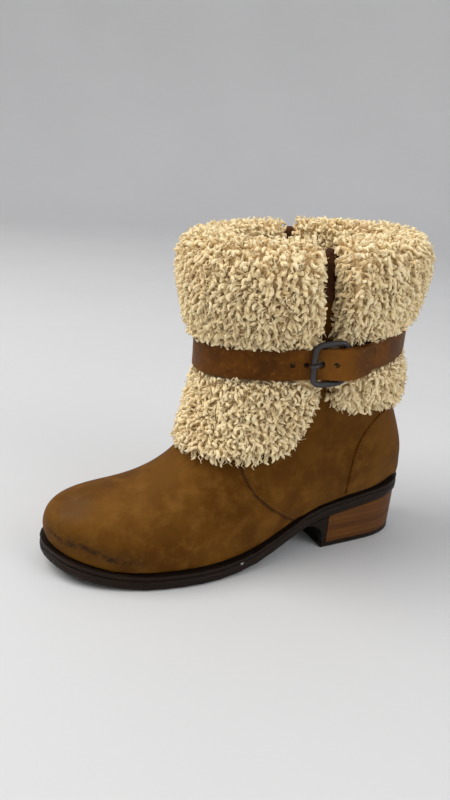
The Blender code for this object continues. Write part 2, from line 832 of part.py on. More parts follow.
def folded_solid(name, columns, material, collection, tufted=False):
    """Closed solid from columns of paired outer and inner points, from the hem to inside."""
    bm = bmesh.new()
    outer = [[bm.verts.new(p) for p in line] for line, _ in columns]
    inner = [[bm.verts.new(p) for p in line] for _, line in columns]
    for here, there in zip(range(len(columns)), range(1, len(columns))):
        if tufted:
            join_tufts(bm, outer[here], outer[there], here)
        else:
            join_rows(bm, outer[here], outer[there], closed=False)
        join_rows(bm, inner[there], inner[here], closed=False)
        for end in (0, -1):
            bm.faces.new((outer[here][end], outer[there][end], inner[there][end], inner[here][end]))
    for end in (0, -1):
        join_rows(bm, outer[end], inner[end], closed=False)
    return finish_object(name, bm, material, collection)


def over_collar(skin, angle, depth_out, depth_in, rise, drop, gap, steps):
    """Paired points of a piece folded over the collar, from its outside to its inner end."""
    top = collar_height(angle)
    radius = shaft_radius(skin, angle, top)
    inside = UPPER_WALL + 2 * gap
    outer = []
    inner = []
    for half_turn, across in FOLD_ARC:
        turn = math.pi * half_turn
        reach = mix(radius + depth_out, radius - inside - depth_in, 0.5 - 0.5 * math.cos(turn))
        outer.append((reach, top + gap + rise * math.sin(turn)))
        inner.append((mix(radius + gap, radius - inside, across), top + gap))
    for i in range(steps + 1):
        height = top - mix(0.0, drop, i / steps)
        wall = shaft_radius(skin, angle, height) - inside
        outer.append((wall - depth_in, height))
        inner.append((wall, height))
    return outer, inner


def place(angle, reach, height):
    return shaft_axis(height) + outward(angle) * reach


def cuff_column(skin, flap, way, hem, lift):
    """Outer and inner points of the cuff's flap, at a share of the way from its middle.

    Lift is 1 on every second column, where the tufts stand between those of the next.
    """
    strap_angle = flap_angle(skin, flap, way, STRAP_HEIGHT)
    strap_middle = strap_height(skin, strap_angle)
    top_angle = flap_angle(skin, flap, way, COLLAR_HEIGHT)
    top = collar_height(top_angle)
    nearness = BUCKLE_REACH * BUCKLE_LENGTH - abs(buckle_way(skin, strap_angle))
    near = ease(nearness / (BUCKLE_FADE * BUCKLE_LENGTH))
    room = mix(0.0, BUCKLE_BAR + BUCKLE_SIDE_ROOM + 4 * FIT_GAP, near)
    half = 0.5 * STRAP_WIDTH + 3 * FIT_GAP + room
    low = strap_middle - half
    high = strap_middle + half
    bed = shaft_radius(skin, strap_angle, strap_middle) + STRAP_BED_DEPTH
    rows = [(mix(hem, low, share), share, depth, tuft) for share, depth, tuft in LOWER_FUR]
    rows += [(low, None, 0.0, 0.0), (high, None, 0.0, 0.0)]
    rows += [(mix(high, top, share), 0.0, depth, tuft) for share, depth, tuft in UPPER_FUR]
    outer = []
    inner = []
    for number, (height, near_strap, depth, tuft) in enumerate(rows):
        angle = flap_angle(skin, flap, way, height)
        radius = shaft_radius(skin, angle, height)
        raised = tuft * ((number + lift) % 2)
        reach = bed if near_strap is None else radius + depth * FUR_DEPTH
        if near_strap:
            reach = mix(reach, min(reach, bed + STRAP_SQUEEZE * FUR_DEPTH), ease(near_strap))
        droop = raised * TUFT_DROOP if number else 0.0
        outer.append(place(angle, reach + raised * TUFT_RISE, height - droop))
        inner.append(place(angle, radius + CUFF_GAP, height))
    fold = over_collar(
        skin, top_angle, FUR_DEPTH, LINING_DEPTH, FOLD_RISE, LINING_DROP, CUFF_GAP,
        CUFF_FOLD_STEPS,
    )
    outer += [place(top_angle, *p) for p in fold[0]]
    inner += [place(top_angle, *p) for p in fold[1]]
    return outer, inner


def make_cuff(skin, flap, hem_table, count, material, collection):
    """Front or back flap of the folded sheepskin cuff."""
    columns = []
    for i in range(count + 1):
        way = 2 * i / count - 1
        hem = table_value(hem_table, HEM_COLUMNS, "height", abs(way)) * COLLAR_HEIGHT
        columns.append(cuff_column(skin, flap, way, hem, i % 2))
    folded_solid(f"cuff_{flap}", columns, material, collection, tufted=True)


def make_facing(skin, side, material, collection):
    """Leather strip over the collar in the slit between the two flaps."""
    columns = []
    for i in range(3):
        way = i - 1.0
        outer = []
        inner = []
        for share in FACING_ROWS:
            top = collar_height(facing_angle(skin, side, way, COLLAR_HEIGHT))
            height = mix(top - FACING_DROP, top, share)
            angle = facing_angle(skin, side, way, height)
            wall = shaft_radius(skin, angle, height) + CUFF_GAP
            outer.append(place(angle, wall + FACING_THICKNESS, height))
            inner.append(place(angle, wall, height))
        angle = facing_angle(skin, side, way, COLLAR_HEIGHT)
        fold = over_collar(
            skin, angle, CUFF_GAP + FACING_THICKNESS, FACING_THICKNESS, 1.6 * FACING_THICKNESS,
            FACING_DROP, CUFF_GAP, FACING_FOLD_STEPS,
        )
        outer += [place(angle, *p) for p in fold[0]]
        inner += [place(angle, *p) for p in fold[1]]
        columns.append((outer, inner))
    folded_solid(f"side_facing_{side}", columns, material, collection)


def facing_angle(skin, side, way, height):
    """Angle of a line of the facing: way is -1 and 1 at its edges and 0 in the slit's middle."""
    return slit_angle(side, height) + way * slit_room(skin, side, height, FACING_WIDTH)


RING = {}


def strap_ring(skin):
    """The strap's middle line round the cuff: angles, points and running length."""
    if not RING:
        steps = int(round(360 / RING_STEP))
        angles = [BUCKLE_ANGLE - 180 + RING_STEP * i for i in range(steps + 1)]
        level = STRAP_BED_DEPTH + STRAP_GAP + 0.5 * STRAP_THICKNESS
        points = []
        for angle in angles:
            height = strap_height(skin, angle)
            points.append(place(angle, shaft_radius(skin, angle, height) + level, height))
        ways = [0.0]
        for before, after in zip(points, points[1:]):
            ways.append(ways[-1] + (after - before).length)
        zero = ways[len(ways) // 2]
        RING["angles"] = angles
        RING["points"] = points
        RING["ways"] = [zero - way for way in ways]
    return RING


def buckle_way(skin, angle):
    """Distance along the strap from the buckle's middle to an angle, towards the heel."""
    ring = strap_ring(skin)
    while angle < ring["angles"][0]:
        angle += 360
    while angle > ring["angles"][-1]:
        angle -= 360
    at = min(int((angle - ring["angles"][0]) / RING_STEP), len(ring["angles"]) - 2)
    share = (angle - ring["angles"][at]) / RING_STEP
    return mix(ring["ways"][at], ring["ways"][at + 1], share)


def strap_point(skin, way, level=0.0, across=0.0):
    """Point at a length along the strap, a level outside its middle line and a height across."""
    ring = strap_ring(skin)
    ways = ring["ways"]
    whole = ways[0] - ways[-1]
    while way > ways[0]:
        way -= whole
    while way < ways[-1]:
        way += whole
    at = next(i for i in range(len(ways) - 1) if ways[i] >= way >= ways[i + 1])
    share = (ways[at] - way) / (ways[at] - ways[at + 1])
    points = ring["points"]
    here = points[at].lerp(points[at + 1], share)
    before = points[at - 1] if at > 0 else points[-2]
    after = points[at + 2] if at + 2 < len(points) else points[1]
    run = (points[at + 1] - before).lerp(after - points[at], share)
    normal = Vector((run.y, -run.x, 0.0)).normalized()
    if normal.dot(here - shaft_axis(here.z)) < 0:
        normal = -normal
    return here + normal * level + Vector((0.0, 0.0, across))


def route_rows(table, turn, layer):
    """Ways and levels of one table of the strap's path."""
    rows = []
    for bar, end, tail, turns, layers in table:
        way = bar * 0.5 * BUCKLE_LENGTH + end * FIXED_END_LENGTH + tail * TAIL_LENGTH
        rows.append((way, turns * turn + layers * layer))
    return rows


def strap_route(skin):
    """Ways and levels of the strap from its fixed end, round the cuff to its tail."""
    heel_bar = 0.5 * BUCKLE_LENGTH
    wrap = 0.5 * BUCKLE_BAR + BAR_GAP + 0.5 * STRAP_THICKNESS
    layer = STRAP_THICKNESS + 2 * FIT_GAP
    route = route_rows(STRAP_START, 2 * wrap, layer)
    for step in range(TURN_STEPS + 1):
        turn = -math.pi * (0.5 + step / TURN_STEPS)
        route.append((heel_bar + wrap * math.cos(turn), wrap + wrap * math.sin(turn)))
    route += route_rows(STRAP_OVER_END, 2 * wrap, layer)
    whole = strap_ring(skin)["ways"][0] - strap_ring(skin)["ways"][-1]
    start = route[-1][0]
    finish = whole - heel_bar - 2 * BUCKLE_BAR
    for i in range(1, STRAP_STEPS + 1):
        route.append((mix(start, finish, i / STRAP_STEPS), 0.0))
    route += [(whole + way, level) for way, level in route_rows(STRAP_TAIL, 2 * wrap, layer)]
    return route


def make_strap(skin, material, collection, cutters):
    """Strap round the cuff: its fixed end turns round the heel bar, its tail lies over it."""
    route = strap_route(skin)
    centres = [strap_point(skin, way, level) for way, level in route]
    tip = route[-1][0]
    bm = bmesh.new()
    rings = []
    for i, centre in enumerate(centres):
        run = centres[min(i + 1, len(centres) - 1)] - centres[max(i - 1, 0)]
        side = Vector((run.y, -run.x, 0.0)).normalized() * (-0.5 * STRAP_THICKNESS)
        left = tip - route[i][0]
        round_end = TAIL_ROUNDING * STRAP_WIDTH
        half = 0.5 * STRAP_WIDTH
        if left < round_end:
            half *= mix(TAIL_BLUNT, 1.0, math.sqrt(1 - (1 - left / round_end) ** 2))
        up = Vector((0.0, 0.0, half))
        rings.append([bm.verts.new(centre + s * side + t * up)
                      for s, t in ((-1, -1), (1, -1), (1, 1), (-1, 1))])
    for lower, upper in zip(rings, rings[1:]):
        join_rows(bm, lower, upper, closed=True)
    bm.faces.new(rings[0])
    bm.faces.new(rings[-1])
    made = finish_object("strap", bm, material, collection)
    for number in (-1, 0, 1, 2):
        way = prong_hole_way() - number * HOLE_SPACING
        size = PRONG_HOLE if number == 0 else HOLE_DIAMETER
        punch_hole(made, skin, way, size, number, cutters)


def prong_hole_way():
    """Where the prong passes up through the tail, just inside the rim bar."""
    return -0.5 * BUCKLE_LENGTH + 0.5 * BUCKLE_BAR + 0.5 * PRONG_HOLE


def punch_hole(strap, skin, way, diameter, number, cutters):
    """Cuts a round hole through the tail."""
    middle = strap_point(skin, way, 0.5 * BUCKLE_BAR)
    axis = strap_point(skin, way, 1.0) - strap_point(skin, way, 0.0)
    bm = bmesh.new()
    bmesh.ops.create_cone(
        bm, cap_ends=True, segments=12, radius1=0.5 * diameter, radius2=0.5 * diameter,
        depth=6 * STRAP_THICKNESS,
    )
    mesh = bpy.data.meshes.new("hole_cutter")
    bm.to_mesh(mesh)
    bm.free()
    cutter = bpy.data.objects.new(f"hole_cutter_{number + 1}", mesh)
    cutter.location = middle
    cutter.rotation_mode = "QUATERNION"
    cutter.rotation_quaternion = axis.to_track_quat("Z", "Y")
    cutter.hide_render = True
    cutter.display_type = "WIRE"
    cutters.objects.link(cutter)
    cut = strap.modifiers.new(cutter.name, "BOOLEAN")
    cut.object = cutter
    cut.operation = "DIFFERENCE"
    cut.solver = "EXACT"


def tube_object(name, points, bar, closed, material, collection):
    """A round bar along points, as a curve with a bevel and filled ends."""
    curve = bpy.data.curves.new(name, "CURVE")
    curve.dimensions = "3D"
    curve.bevel_depth = 0.5 * bar
    curve.bevel_resolution = 2
    curve.use_fill_caps = True
    spline = curve.splines.new("POLY")
    spline.points.add(len(points) - 1)
    for knot, point in zip(spline.points, points):
        knot.co = (*point, 1.0)
    spline.use_cyclic_u = closed
    curve.materials.append(material)
    made = bpy.data.objects.new(name, curve)
    collection.objects.link(made)


def make_buckle(skin, material, collection):
    """Buckle frame, whose heel bar the strap turns round, and its prong."""
    level = 0.5 * BUCKLE_BAR + BAR_GAP + 0.5 * STRAP_THICKNESS
    half_long = 0.5 * BUCKLE_LENGTH
    half_tall = 0.5 * STRAP_WIDTH + BUCKLE_SIDE_ROOM + 0.5 * BUCKLE_BAR
    points = []
    for across, along_way, first in ((1, 1, 0), (1, -1, 90), (-1, -1, 180), (-1, 1, 270)):
        for step in range(4):
            turn = math.radians(first + 30 * step)
            way = along_way * (half_long - BUCKLE_CORNER) + BUCKLE_CORNER * math.cos(turn)
            height = across * (half_tall - BUCKLE_CORNER) + BUCKLE_CORNER * math.sin(turn)
            points.append(strap_point(skin, way, level, height))
    tube_object("buckle_frame", points, BUCKLE_BAR, True, material, collection)
    hole = prong_hole_way()
    rest = level + 0.5 * (BUCKLE_BAR + PRONG_BAR) + FIT_GAP
    root = half_long - level - 0.5 * STRAP_THICKNESS - PRONG_BAR
    points = []
    for to_root, to_hole, size, frame, resting in PRONG_ROUTE:
        way = to_root * root + to_hole * hole + size * PRONG_HOLE
        points.append(strap_point(skin, way, frame * level + resting * rest))
    tube_object("buckle_prong", points, PRONG_BAR, False, material, collection)


def centre_on_floor(groups):
    """Moves the whole boot so that the middle of its plan stands over the origin."""
    bpy.context.view_layer.update()
    graph = bpy.context.evaluated_depsgraph_get()
    points = []
    for item in groups[0].objects:
        evaluated = item.evaluated_get(graph)
        points += [item.matrix_world @ vertex.co for vertex in evaluated.to_mesh().vertices]
        evaluated.to_mesh_clear()
    shift = [-0.5 * (min(p[axis] for p in points) + max(p[axis] for p in points))
             for axis in range(2)]
    origin = bpy.data.objects.new("boot_origin", None)
    bpy.context.scene.collection.objects.link(origin)
    for group in groups:
        for item in group.objects:
            item.parent = origin
    origin.location = (*shift, 0.0)
    bpy.context.view_layer.update()


def main():
    clear_scene()
    parts = new_collection("sheepskin_boot")
    cutters = new_collection("cutters")
    leather = principled("waxed_leather", (0.27, 0.115, 0.032), 0.62)
    strap_leather = principled("strap_leather", (0.15, 0.052, 0.018), 0.50)
    rubber = principled("dark_rubber", (0.020, 0.014, 0.012), 0.55)
    stack = principled("stacked_heel_leather", (0.30, 0.105, 0.035), 0.45)
    lining = principled("insole_fleece", (0.80, 0.68, 0.50), 0.95)
    wool = principled("sheepskin", (0.82, 0.68, 0.48), 0.95)
    gunmetal = principled("gunmetal", (0.045, 0.040, 0.038), 0.35, metallic=0.9)
    make_outsole(rubber, parts)
    make_midsole(rubber, parts)
    make_insole(lining, parts)
    make_heel(stack, rubber, parts)
    skin = make_upper(leather, parts)
    make_counter(skin, leather, parts)
    make_cuff(skin, "front", FRONT_HEM, FRONT_TUFT_COLUMNS, wool, parts)
    make_cuff(skin, "back", BACK_HEM, BACK_TUFT_COLUMNS, wool, parts)
    make_facing(skin, "lateral", strap_leather, parts)
    make_facing(skin, "medial", strap_leather, parts)
    make_strap(skin, strap_leather, parts, cutters)
    make_buckle(skin, gunmetal, parts)
    centre_on_floor((parts, cutters))


if __name__ == "__main__":
    main()
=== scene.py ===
"""Sheepskin ankle boot: wool locks, waxed leather, stitching and a plain studio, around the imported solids."""
import math

import bmesh
import bpy
import numpy as np
from mathutils import Matrix, Vector
from mathutils.bvhtree import BVHTree
from mathutils.kdtree import KDTree


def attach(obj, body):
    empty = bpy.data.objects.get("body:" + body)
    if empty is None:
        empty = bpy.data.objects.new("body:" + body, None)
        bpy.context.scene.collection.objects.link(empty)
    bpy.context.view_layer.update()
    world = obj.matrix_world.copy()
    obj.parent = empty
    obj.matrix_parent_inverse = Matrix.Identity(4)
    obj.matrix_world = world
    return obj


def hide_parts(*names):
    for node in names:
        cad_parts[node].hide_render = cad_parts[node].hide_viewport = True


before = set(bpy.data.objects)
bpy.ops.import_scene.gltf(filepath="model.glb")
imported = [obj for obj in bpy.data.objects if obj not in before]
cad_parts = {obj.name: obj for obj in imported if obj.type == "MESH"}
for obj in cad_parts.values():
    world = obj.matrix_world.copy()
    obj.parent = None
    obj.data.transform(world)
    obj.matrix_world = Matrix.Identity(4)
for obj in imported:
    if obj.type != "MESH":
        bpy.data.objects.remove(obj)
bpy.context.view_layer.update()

bl_info = {
    "name": "Sheepskin ankle boot",
    "version": (1, 0, 0),
    "blender": (4, 5, 0),
    "location": "View3D > Sidebar > Boot",
    "description": "Dresses a left sheepskin boot in waxed leather, curled wool, a buckled strap and a studio",
    "category": "Object",
}

BODY = "root"
SEED = 4471
MERGE_GAP = 1e-6
STRAP_ROOM = 0.0014
HOLE_ROOM = 0.0055
HEEL_CENTRE = (0.0957, 0.0)
HEEL_DRAW = 0.0038
CAST_SWELL = 0.00035
HEEL_DRAW_HEIGHT = 0.055
HEEL_DRAW_SPREAD = 0.0135
MM = 0.001

# Where the vamp and quarter overlap in the solid, from the lateral feather line over the instep to
# the medial one, and the sewn line itself, in millimetres.
VAMP_LAP = (
    (33.0, -31.8, 27.7), (26.7, -36.5, 33.3), (19.7, -39.9, 39.6), (12.1, -41.9, 46.3), (4.2, -42.3, 53.3),
    (-4.2, -41.3, 60.8), (-12.3, -38.9, 68.0), (-19.7, -35.0, 74.6), (-26.2, -29.9, 80.3), (-31.5, -23.8, 85.1),
    (-35.4, -16.9, 88.5), (-37.8, -9.4, 90.7), (-38.6, -1.6, 91.4), (-37.8, 6.0, 90.7), (-35.3, 13.3, 88.5),
    (-31.2, 20.0, 84.9), (-25.8, 25.9, 80.0), (-19.1, 30.8, 74.1), (-11.5, 34.4, 67.3), (-3.3, 36.7, 60.0),
    (5.3, 37.5, 52.4), (12.9, 36.8, 45.6), (20.3, 34.6, 39.0), (27.1, 31.1, 33.0), (33.0, 26.4, 27.7),
)

VAMP_SEAM = (
    (33.0, -31.8, 27.7), (24.6, -37.4, 33.2), (16.8, -40.6, 38.8), (9.6, -42.0, 44.2), (2.2, -42.3, 50.0),
    (-4.6, -41.9, 56.2), (-10.4, -40.1, 63.6), (-15.3, -37.8, 72.7), (-18.0, -34.1, 82.2), (-21.5, -29.0, 88.5),
    (-26.5, -21.5, 93.5), (-31.0, -11.5, 96.5), (-33.0, -1.6, 97.5), (-31.0, 9.0, 96.5), (-26.5, 18.5, 93.0),
    (-21.5, 25.0, 88.0), (-18.0, 29.5, 82.2), (-15.3, 33.0, 72.7), (-10.4, 35.2, 63.6), (-4.6, 36.6, 56.2),
    (2.4, 37.3, 50.0), (9.6, 37.2, 44.2), (17.0, 35.8, 38.6), (25.0, 32.2, 33.0), (33.0, 26.4, 27.7),
)

# Creases: a point on each, the way it runs, its half length and half width, and its depth (a ridge is
# negative), in millimetres.
CREASES = (
    ((-84, -4, 57), (0.25, 1.0, 0.05), 26, 8.0, 0.9),
    ((-72, -8, 60), (0.30, 1.0, 0.00), 22, 7.0, -0.5),
    ((-60, -24, 58), (0.45, 0.85, -0.4), 20, 6.0, 0.45),
    ((-48, -33, 55), (0.50, 0.55, -0.7), 18, 5.0, 0.40),
    ((-30, -38, 56), (0.55, 0.35, -0.8), 20, 6.0, -0.45),
    ((43, -39, 92), (0.18, -0.05, -1.0), 22, 4.0, 0.65),
    ((50, -41, 72), (0.40, 0.05, -1.0), 20, 4.5, 0.50),
    ((62, -39, 80), (0.10, 0.00, -1.0), 18, 4.0, 0.40),
    ((36, -40, 100), (0.30, -0.05, -1.0), 16, 4.5, -0.50),
    ((20, -41, 70), (0.75, -0.05, -0.7), 20, 6.0, 0.35),
    ((45, 39, 90), (0.20, 0.05, -1.0), 24, 4.5, 0.65),
    ((60, 38, 78), (0.20, 0.00, -1.0), 20, 4.5, 0.45),
    ((-62, 26, 55), (0.40, -0.8, 0.4), 20, 6.0, 0.45),
    ((-44, 34, 54), (0.50, -0.5, 0.7), 18, 5.5, 0.40),
    ((100, -34, 62), (0.90, 0.25, 0.15), 22, 6.0, 0.35),
)

# The dark rubbed streak round the toe, and the pale greyish patch on the toe's top, which is wax bloom with painted
# sheen: places in millimetres.
TOE_STREAK = (
    (-134.0, 0.0, 31.0), (-132.6, -7.5, 30.9), (-129.3, -13.2, 29.1), (-124.2, -19.4, 28.8), (-117.3, -25.4, 28.8),
    (-110.7, -30.0, 25.9), (-103.3, -34.1, 22.6), (-91.6, -39.3, 21.2), (-79.2, -42.5, 19.3),
)
TOE_PATCH = (-119.0, -6.0, 47.0)
TOE_PATCH_REACH = 17.0

# A pale nick in the sole's edge, in metres.
SOLE_NICK = (-0.0131, -0.0437, 0.0086)

# The strap's holes, behind which no lock stands.
STRAP_HOLES = ((8.4, -51.8, 153.5), (15.6, -57.4, 152.7), (22.7, -62.5, 151.9), (29.2, -66.8, 153.4))

# Where the strap's tail is handled and rubbed light.
STRAP_HANDLED = (29.0, -67.0, 153.0)


class LeatherSettings(bpy.types.PropertyGroup):
    """Colours and relief of the waxed leather."""
    light: bpy.props.FloatVectorProperty(
        name="Light tan", description="Where the wax has pulled up", subtype="COLOR", size=3,
        default=(0.205, 0.092, 0.0165), min=0, max=1)
    middle: bpy.props.FloatVectorProperty(
        name="Chestnut", description="The leather's main colour", subtype="COLOR", size=3,
        default=(0.136, 0.053, 0.0052), min=0, max=1)
    # Besides the dark clouds and streaks, this dark brown paints the shade towards the top of the shaft.
    dark: bpy.props.FloatVectorProperty(
        name="Dark brown", description="Waxed hollows and handled places", subtype="COLOR", size=3,
        default=(0.088, 0.031, 0.0028), min=0, max=1)
    strap: bpy.props.FloatVectorProperty(
        name="Strap", description="The strap's main colour", subtype="COLOR", size=3,
        default=(0.122, 0.040, 0.0034), min=0, max=1)
    grain: bpy.props.FloatProperty(
        name="Grain depth", description="Height of the leather's fine grain", subtype="DISTANCE",
        default=0.00010, min=0, max=0.001)
    crease: bpy.props.FloatProperty(
        name="Crease strength", description="Share of the worn creases' full depth", subtype="FACTOR",
        default=1.0, min=0, max=2)
    counter: bpy.props.FloatProperty(
        name="Counter thickness", description="Height of the heel counter above the quarter", subtype="DISTANCE",
        default=0.0013, min=0.0005, max=0.003)


class WoolSettings(bpy.types.PropertyGroup):
    """The curled locks of the folded cuff and the lining."""
    length: bpy.props.FloatProperty(
        name="Lock length", description="From the pelt to a lock's tip", subtype="DISTANCE",
        default=0.0062, min=0.002, max=0.02)
    width: bpy.props.FloatProperty(
        name="Lock radius", description="Half the width of a lock at its fullest", subtype="DISTANCE",
        default=0.00130, min=0.0003, max=0.004)
    spacing: bpy.props.FloatProperty(
        name="Lock spacing", description="Distance between neighbouring roots", subtype="DISTANCE",
        default=0.00236, min=0.0015, max=0.01)
    depth: bpy.props.FloatProperty(
        name="Pelt depth", description="How far under the cuff's outside the locks grow from", subtype="DISTANCE",
        default=0.0046, min=0.001, max=0.01)
    tip: bpy.props.FloatVectorProperty(
        name="Tip colour", description="Cream of the tips", subtype="COLOR", size=3,
        default=(0.98, 0.81, 0.480), min=0, max=1)
    # The roots' tan is partly the wool's own colour and partly painted shade between the locks.
    root: bpy.props.FloatVectorProperty(
        name="Root colour", description="Tan between the locks", subtype="COLOR", size=3,
        default=(0.93, 0.70, 0.38), min=0, max=1)


class SoleSettings(bpy.types.PropertyGroup):
    """Rubber, stacked heel and metal."""
    rubber: bpy.props.FloatVectorProperty(
        name="Rubber", description="Sole edge, outsole and top lift", subtype="COLOR", size=3,
        default=(0.0105, 0.0062, 0.0045), min=0, max=1)
    stack: bpy.props.FloatVectorProperty(
        name="Stacked heel", description="The heel's leather layers", subtype="COLOR", size=3,
        default=(0.118, 0.042, 0.0060), min=0, max=1)
    layer: bpy.props.FloatProperty(
        name="Layer height", description="Thickness of one leather layer of the heel", subtype="DISTANCE",
        default=0.0036, min=0.001, max=0.01)
    metal: bpy.props.FloatVectorProperty(
        name="Gunmetal", description="Buckle frame and prong", subtype="COLOR", size=3,
        default=(0.004, 0.004, 0.004), min=0, max=1)
    edge: bpy.props.FloatProperty(
        name="Edge rounding", description="Bevel of the sole's edges", subtype="DISTANCE",
        default=0.0005, min=0, max=0.002)


class StitchSettings(bpy.types.PropertyGroup):
    """The tonal stitching beside the seams."""
    length: bpy.props.FloatProperty(
        name="Stitch length", description="Length of one stitch", subtype="DISTANCE", default=0.0021, min=0.001, max=0.006)
    pitch: bpy.props.FloatProperty(
        name="Stitch pitch", description="Distance from stitch to stitch", subtype="DISTANCE",
        default=0.0029, min=0.0012, max=0.01)
    radius: bpy.props.FloatProperty(
        name="Thread radius", description="Half the thread's thickness", subtype="DISTANCE",
        default=0.00030, min=0.0001, max=0.001)
    thread: bpy.props.FloatVectorProperty(
        name="Thread", description="Colour of the thread", subtype="COLOR", size=3,
        default=(0.120, 0.048, 0.008), min=0, max=1)


class StageSettings(bpy.types.PropertyGroup):
    """Floor, light and camera."""
    floor: bpy.props.FloatVectorProperty(
        name="Floor", description="The pale floor's colour", subtype="COLOR", size=3,
        default=(0.655, 0.652, 0.648), min=0, max=1)
    reach: bpy.props.FloatProperty(
        name="Floor reach", description="From the boot to where the floor turns up", subtype="DISTANCE",
        default=2.2, min=1, max=10)
    key: bpy.props.FloatProperty(
        name="Key light", description="Power of the large soft light, in watts", default=29.0, min=0, max=500)
    fill: bpy.props.FloatProperty(
        name="Fill light", description="Power of the weaker light in front, in watts", default=11.0, min=0, max=500)
    sky: bpy.props.FloatProperty(
        name="Room light", description="Strength of the even light from all round", default=0.80, min=0, max=5)
    lens: bpy.props.FloatProperty(
        name="Lens", description="Focal length in millimetres", default=31.5, min=10, max=200)


class Finish:
    """A material's node tree, put together with short calls."""

    def __init__(self, name):
        self.material = bpy.data.materials.new(name)
        self.material.use_nodes = True
        self.tree = self.material.node_tree
        self.shader = self.tree.nodes["Principled BSDF"]
        self.place = self.node("ShaderNodeTexCoord").outputs["Object"]

    def node(self, kind, inputs=None, **settings):
        made = self.tree.nodes.new(kind)
        for name, value in settings.items():
            setattr(made, name, value)
        for key, value in (inputs or {}).items():
            if isinstance(value, bpy.types.NodeSocket):
                self.tree.links.new(value, made.inputs[key])
            else:
                made.inputs[key].default_value = value
        return made

    def noise(self, scale, detail=3.0, roughness=0.55, stretch=None, distortion=0.0):
        place = self.place
        if stretch:
            place = self.node("ShaderNodeMapping", {"Vector": place, "Scale": stretch}).outputs[0]
        inputs = {"Vector": place, "Scale": scale, "Detail": detail, "Roughness": roughness, "Distortion": distortion}
        return self.node("ShaderNodeTexNoise", inputs).outputs[0]

    def cells(self, scale, feature="F1"):
        return self.node("ShaderNodeTexVoronoi", {"Vector": self.place, "Scale": scale}, feature=feature).outputs[0]

    def spread(self, value, low, high, to_low=0.0, to_high=1.0):
        inputs = {0: value, 1: low, 2: high, 3: to_low, 4: to_high}
        return self.node("ShaderNodeMapRange", inputs, interpolation_type="SMOOTHSTEP").outputs[0]

    def math(self, operation, first, second):
        return self.node("ShaderNodeMath", {0: first, 1: second}, operation=operation).outputs[0]

    def mark(self, name):
        return self.node("ShaderNodeAttribute", attribute_name=name).outputs["Fac"]

    def blend(self, share, first, second, mode="MIX"):
        made = self.node("ShaderNodeMix", {0: share}, data_type="RGBA", blend_type=mode)
        for at, value in ((6, first), (7, second)):
            if isinstance(value, bpy.types.NodeSocket):
                self.tree.links.new(value, made.inputs[at])
            else:
                made.inputs[at].default_value = (*value, 1.0)
        return made.outputs[2]

    def bump(self, height, distance, strength=1.0, under=None):
        inputs = {"Height": height, "Distance": distance, "Strength": strength}
        if under is not None:
            inputs["Normal"] = under
        return self.node("ShaderNodeBump", inputs).outputs[0]

    def set(self, **values):
        for name, value in values.items():
            socket = self.shader.inputs[name.replace("_", " ")]
            if isinstance(value, bpy.types.NodeSocket):
                self.tree.links.new(value, socket)
            elif isinstance(value, tuple) and len(value) == 3 and socket.type == "RGBA":
                socket.default_value = (*value, 1.0)
            else:
                socket.default_value = value
        return self.material


def known(name, make):
    """The material of that name, made on first use."""
    return bpy.data.materials.get(name) or make()


def waxed_leather():
    """Chestnut nubuck with cloudy wax and dark streaks, a rubbed toe and fine grain, with painted light on the faces
    that look up, painted shade towards the top of the shaft, and a greyish patch on the toe's top that is wax bloom
    with painted sheen.
    """
    tone = bpy.context.scene.boot_leather
    finish = Finish("waxed nubuck")
    clouds = finish.noise(19.0, 4.0, 0.55, distortion=0.4)
    mottle = finish.noise(85.0, 5.0, 0.62)
    streaks = finish.noise(60.0, 4.0, 0.6, stretch=(0.6, 1.0, 1.8))
    colour = finish.blend(finish.spread(clouds, 0.38, 0.64), tuple(tone.dark), tuple(tone.middle))
    colour = finish.blend(finish.spread(mottle, 0.42, 0.72, 0.0, 0.55), colour, tuple(tone.light))
    colour = finish.blend(finish.spread(streaks, 0.50, 0.75, 0.0, 0.30), colour, tuple(tone.dark))
    # Painted light and shade: faces that look up are lightened towards a pale tan, and the leather is darkened towards
    # the top of the shaft.
    shaft_shade = finish.spread(finish.mark("height_share"), 0.15, 0.75)
    colour = finish.blend(finish.math("MULTIPLY", finish.mark("facing_up"), 0.15), colour, (0.165, 0.080, 0.022))
    colour = finish.blend(finish.math("MULTIPLY", shaft_shade, 0.35), colour, tuple(tone.dark))
    broken = finish.spread(finish.noise(150.0, 6.0, 0.8), 0.28, 0.60, 0.10, 1.0)
    scuff = finish.math("MULTIPLY", finish.mark("scuff"), broken)
    colour = finish.blend(scuff, colour, (0.018, 0.011, 0.007))
    # The toe top's greyish patch: wax bloom with painted sheen.
    patch = finish.math("MULTIPLY", finish.mark("patch"), finish.spread(mottle, 0.3, 0.7, 0.25, 1.0))
    colour = finish.blend(finish.math("MULTIPLY", patch, 0.5), colour, (0.092, 0.058, 0.038))
    colour = finish.blend(finish.mark("seam"), colour, (0.030, 0.012, 0.004))
    fine = finish.bump(finish.noise(1500.0, 3.0, 0.6), tone.grain * 0.6, 0.6)
    pebble = finish.bump(finish.cells(620.0), tone.grain, 0.45, fine)
    soft = finish.bump(finish.noise(150.0, 3.0, 0.5), 0.0004, 0.35, pebble)
    rough = finish.spread(mottle, 0.3, 0.7, 0.60, 0.78)
    return finish.set(Base_Color=colour, Roughness=rough, Normal=soft, Specular_IOR_Level=0.12,
                      Specular_Tint=(1.0, 0.72, 0.42))


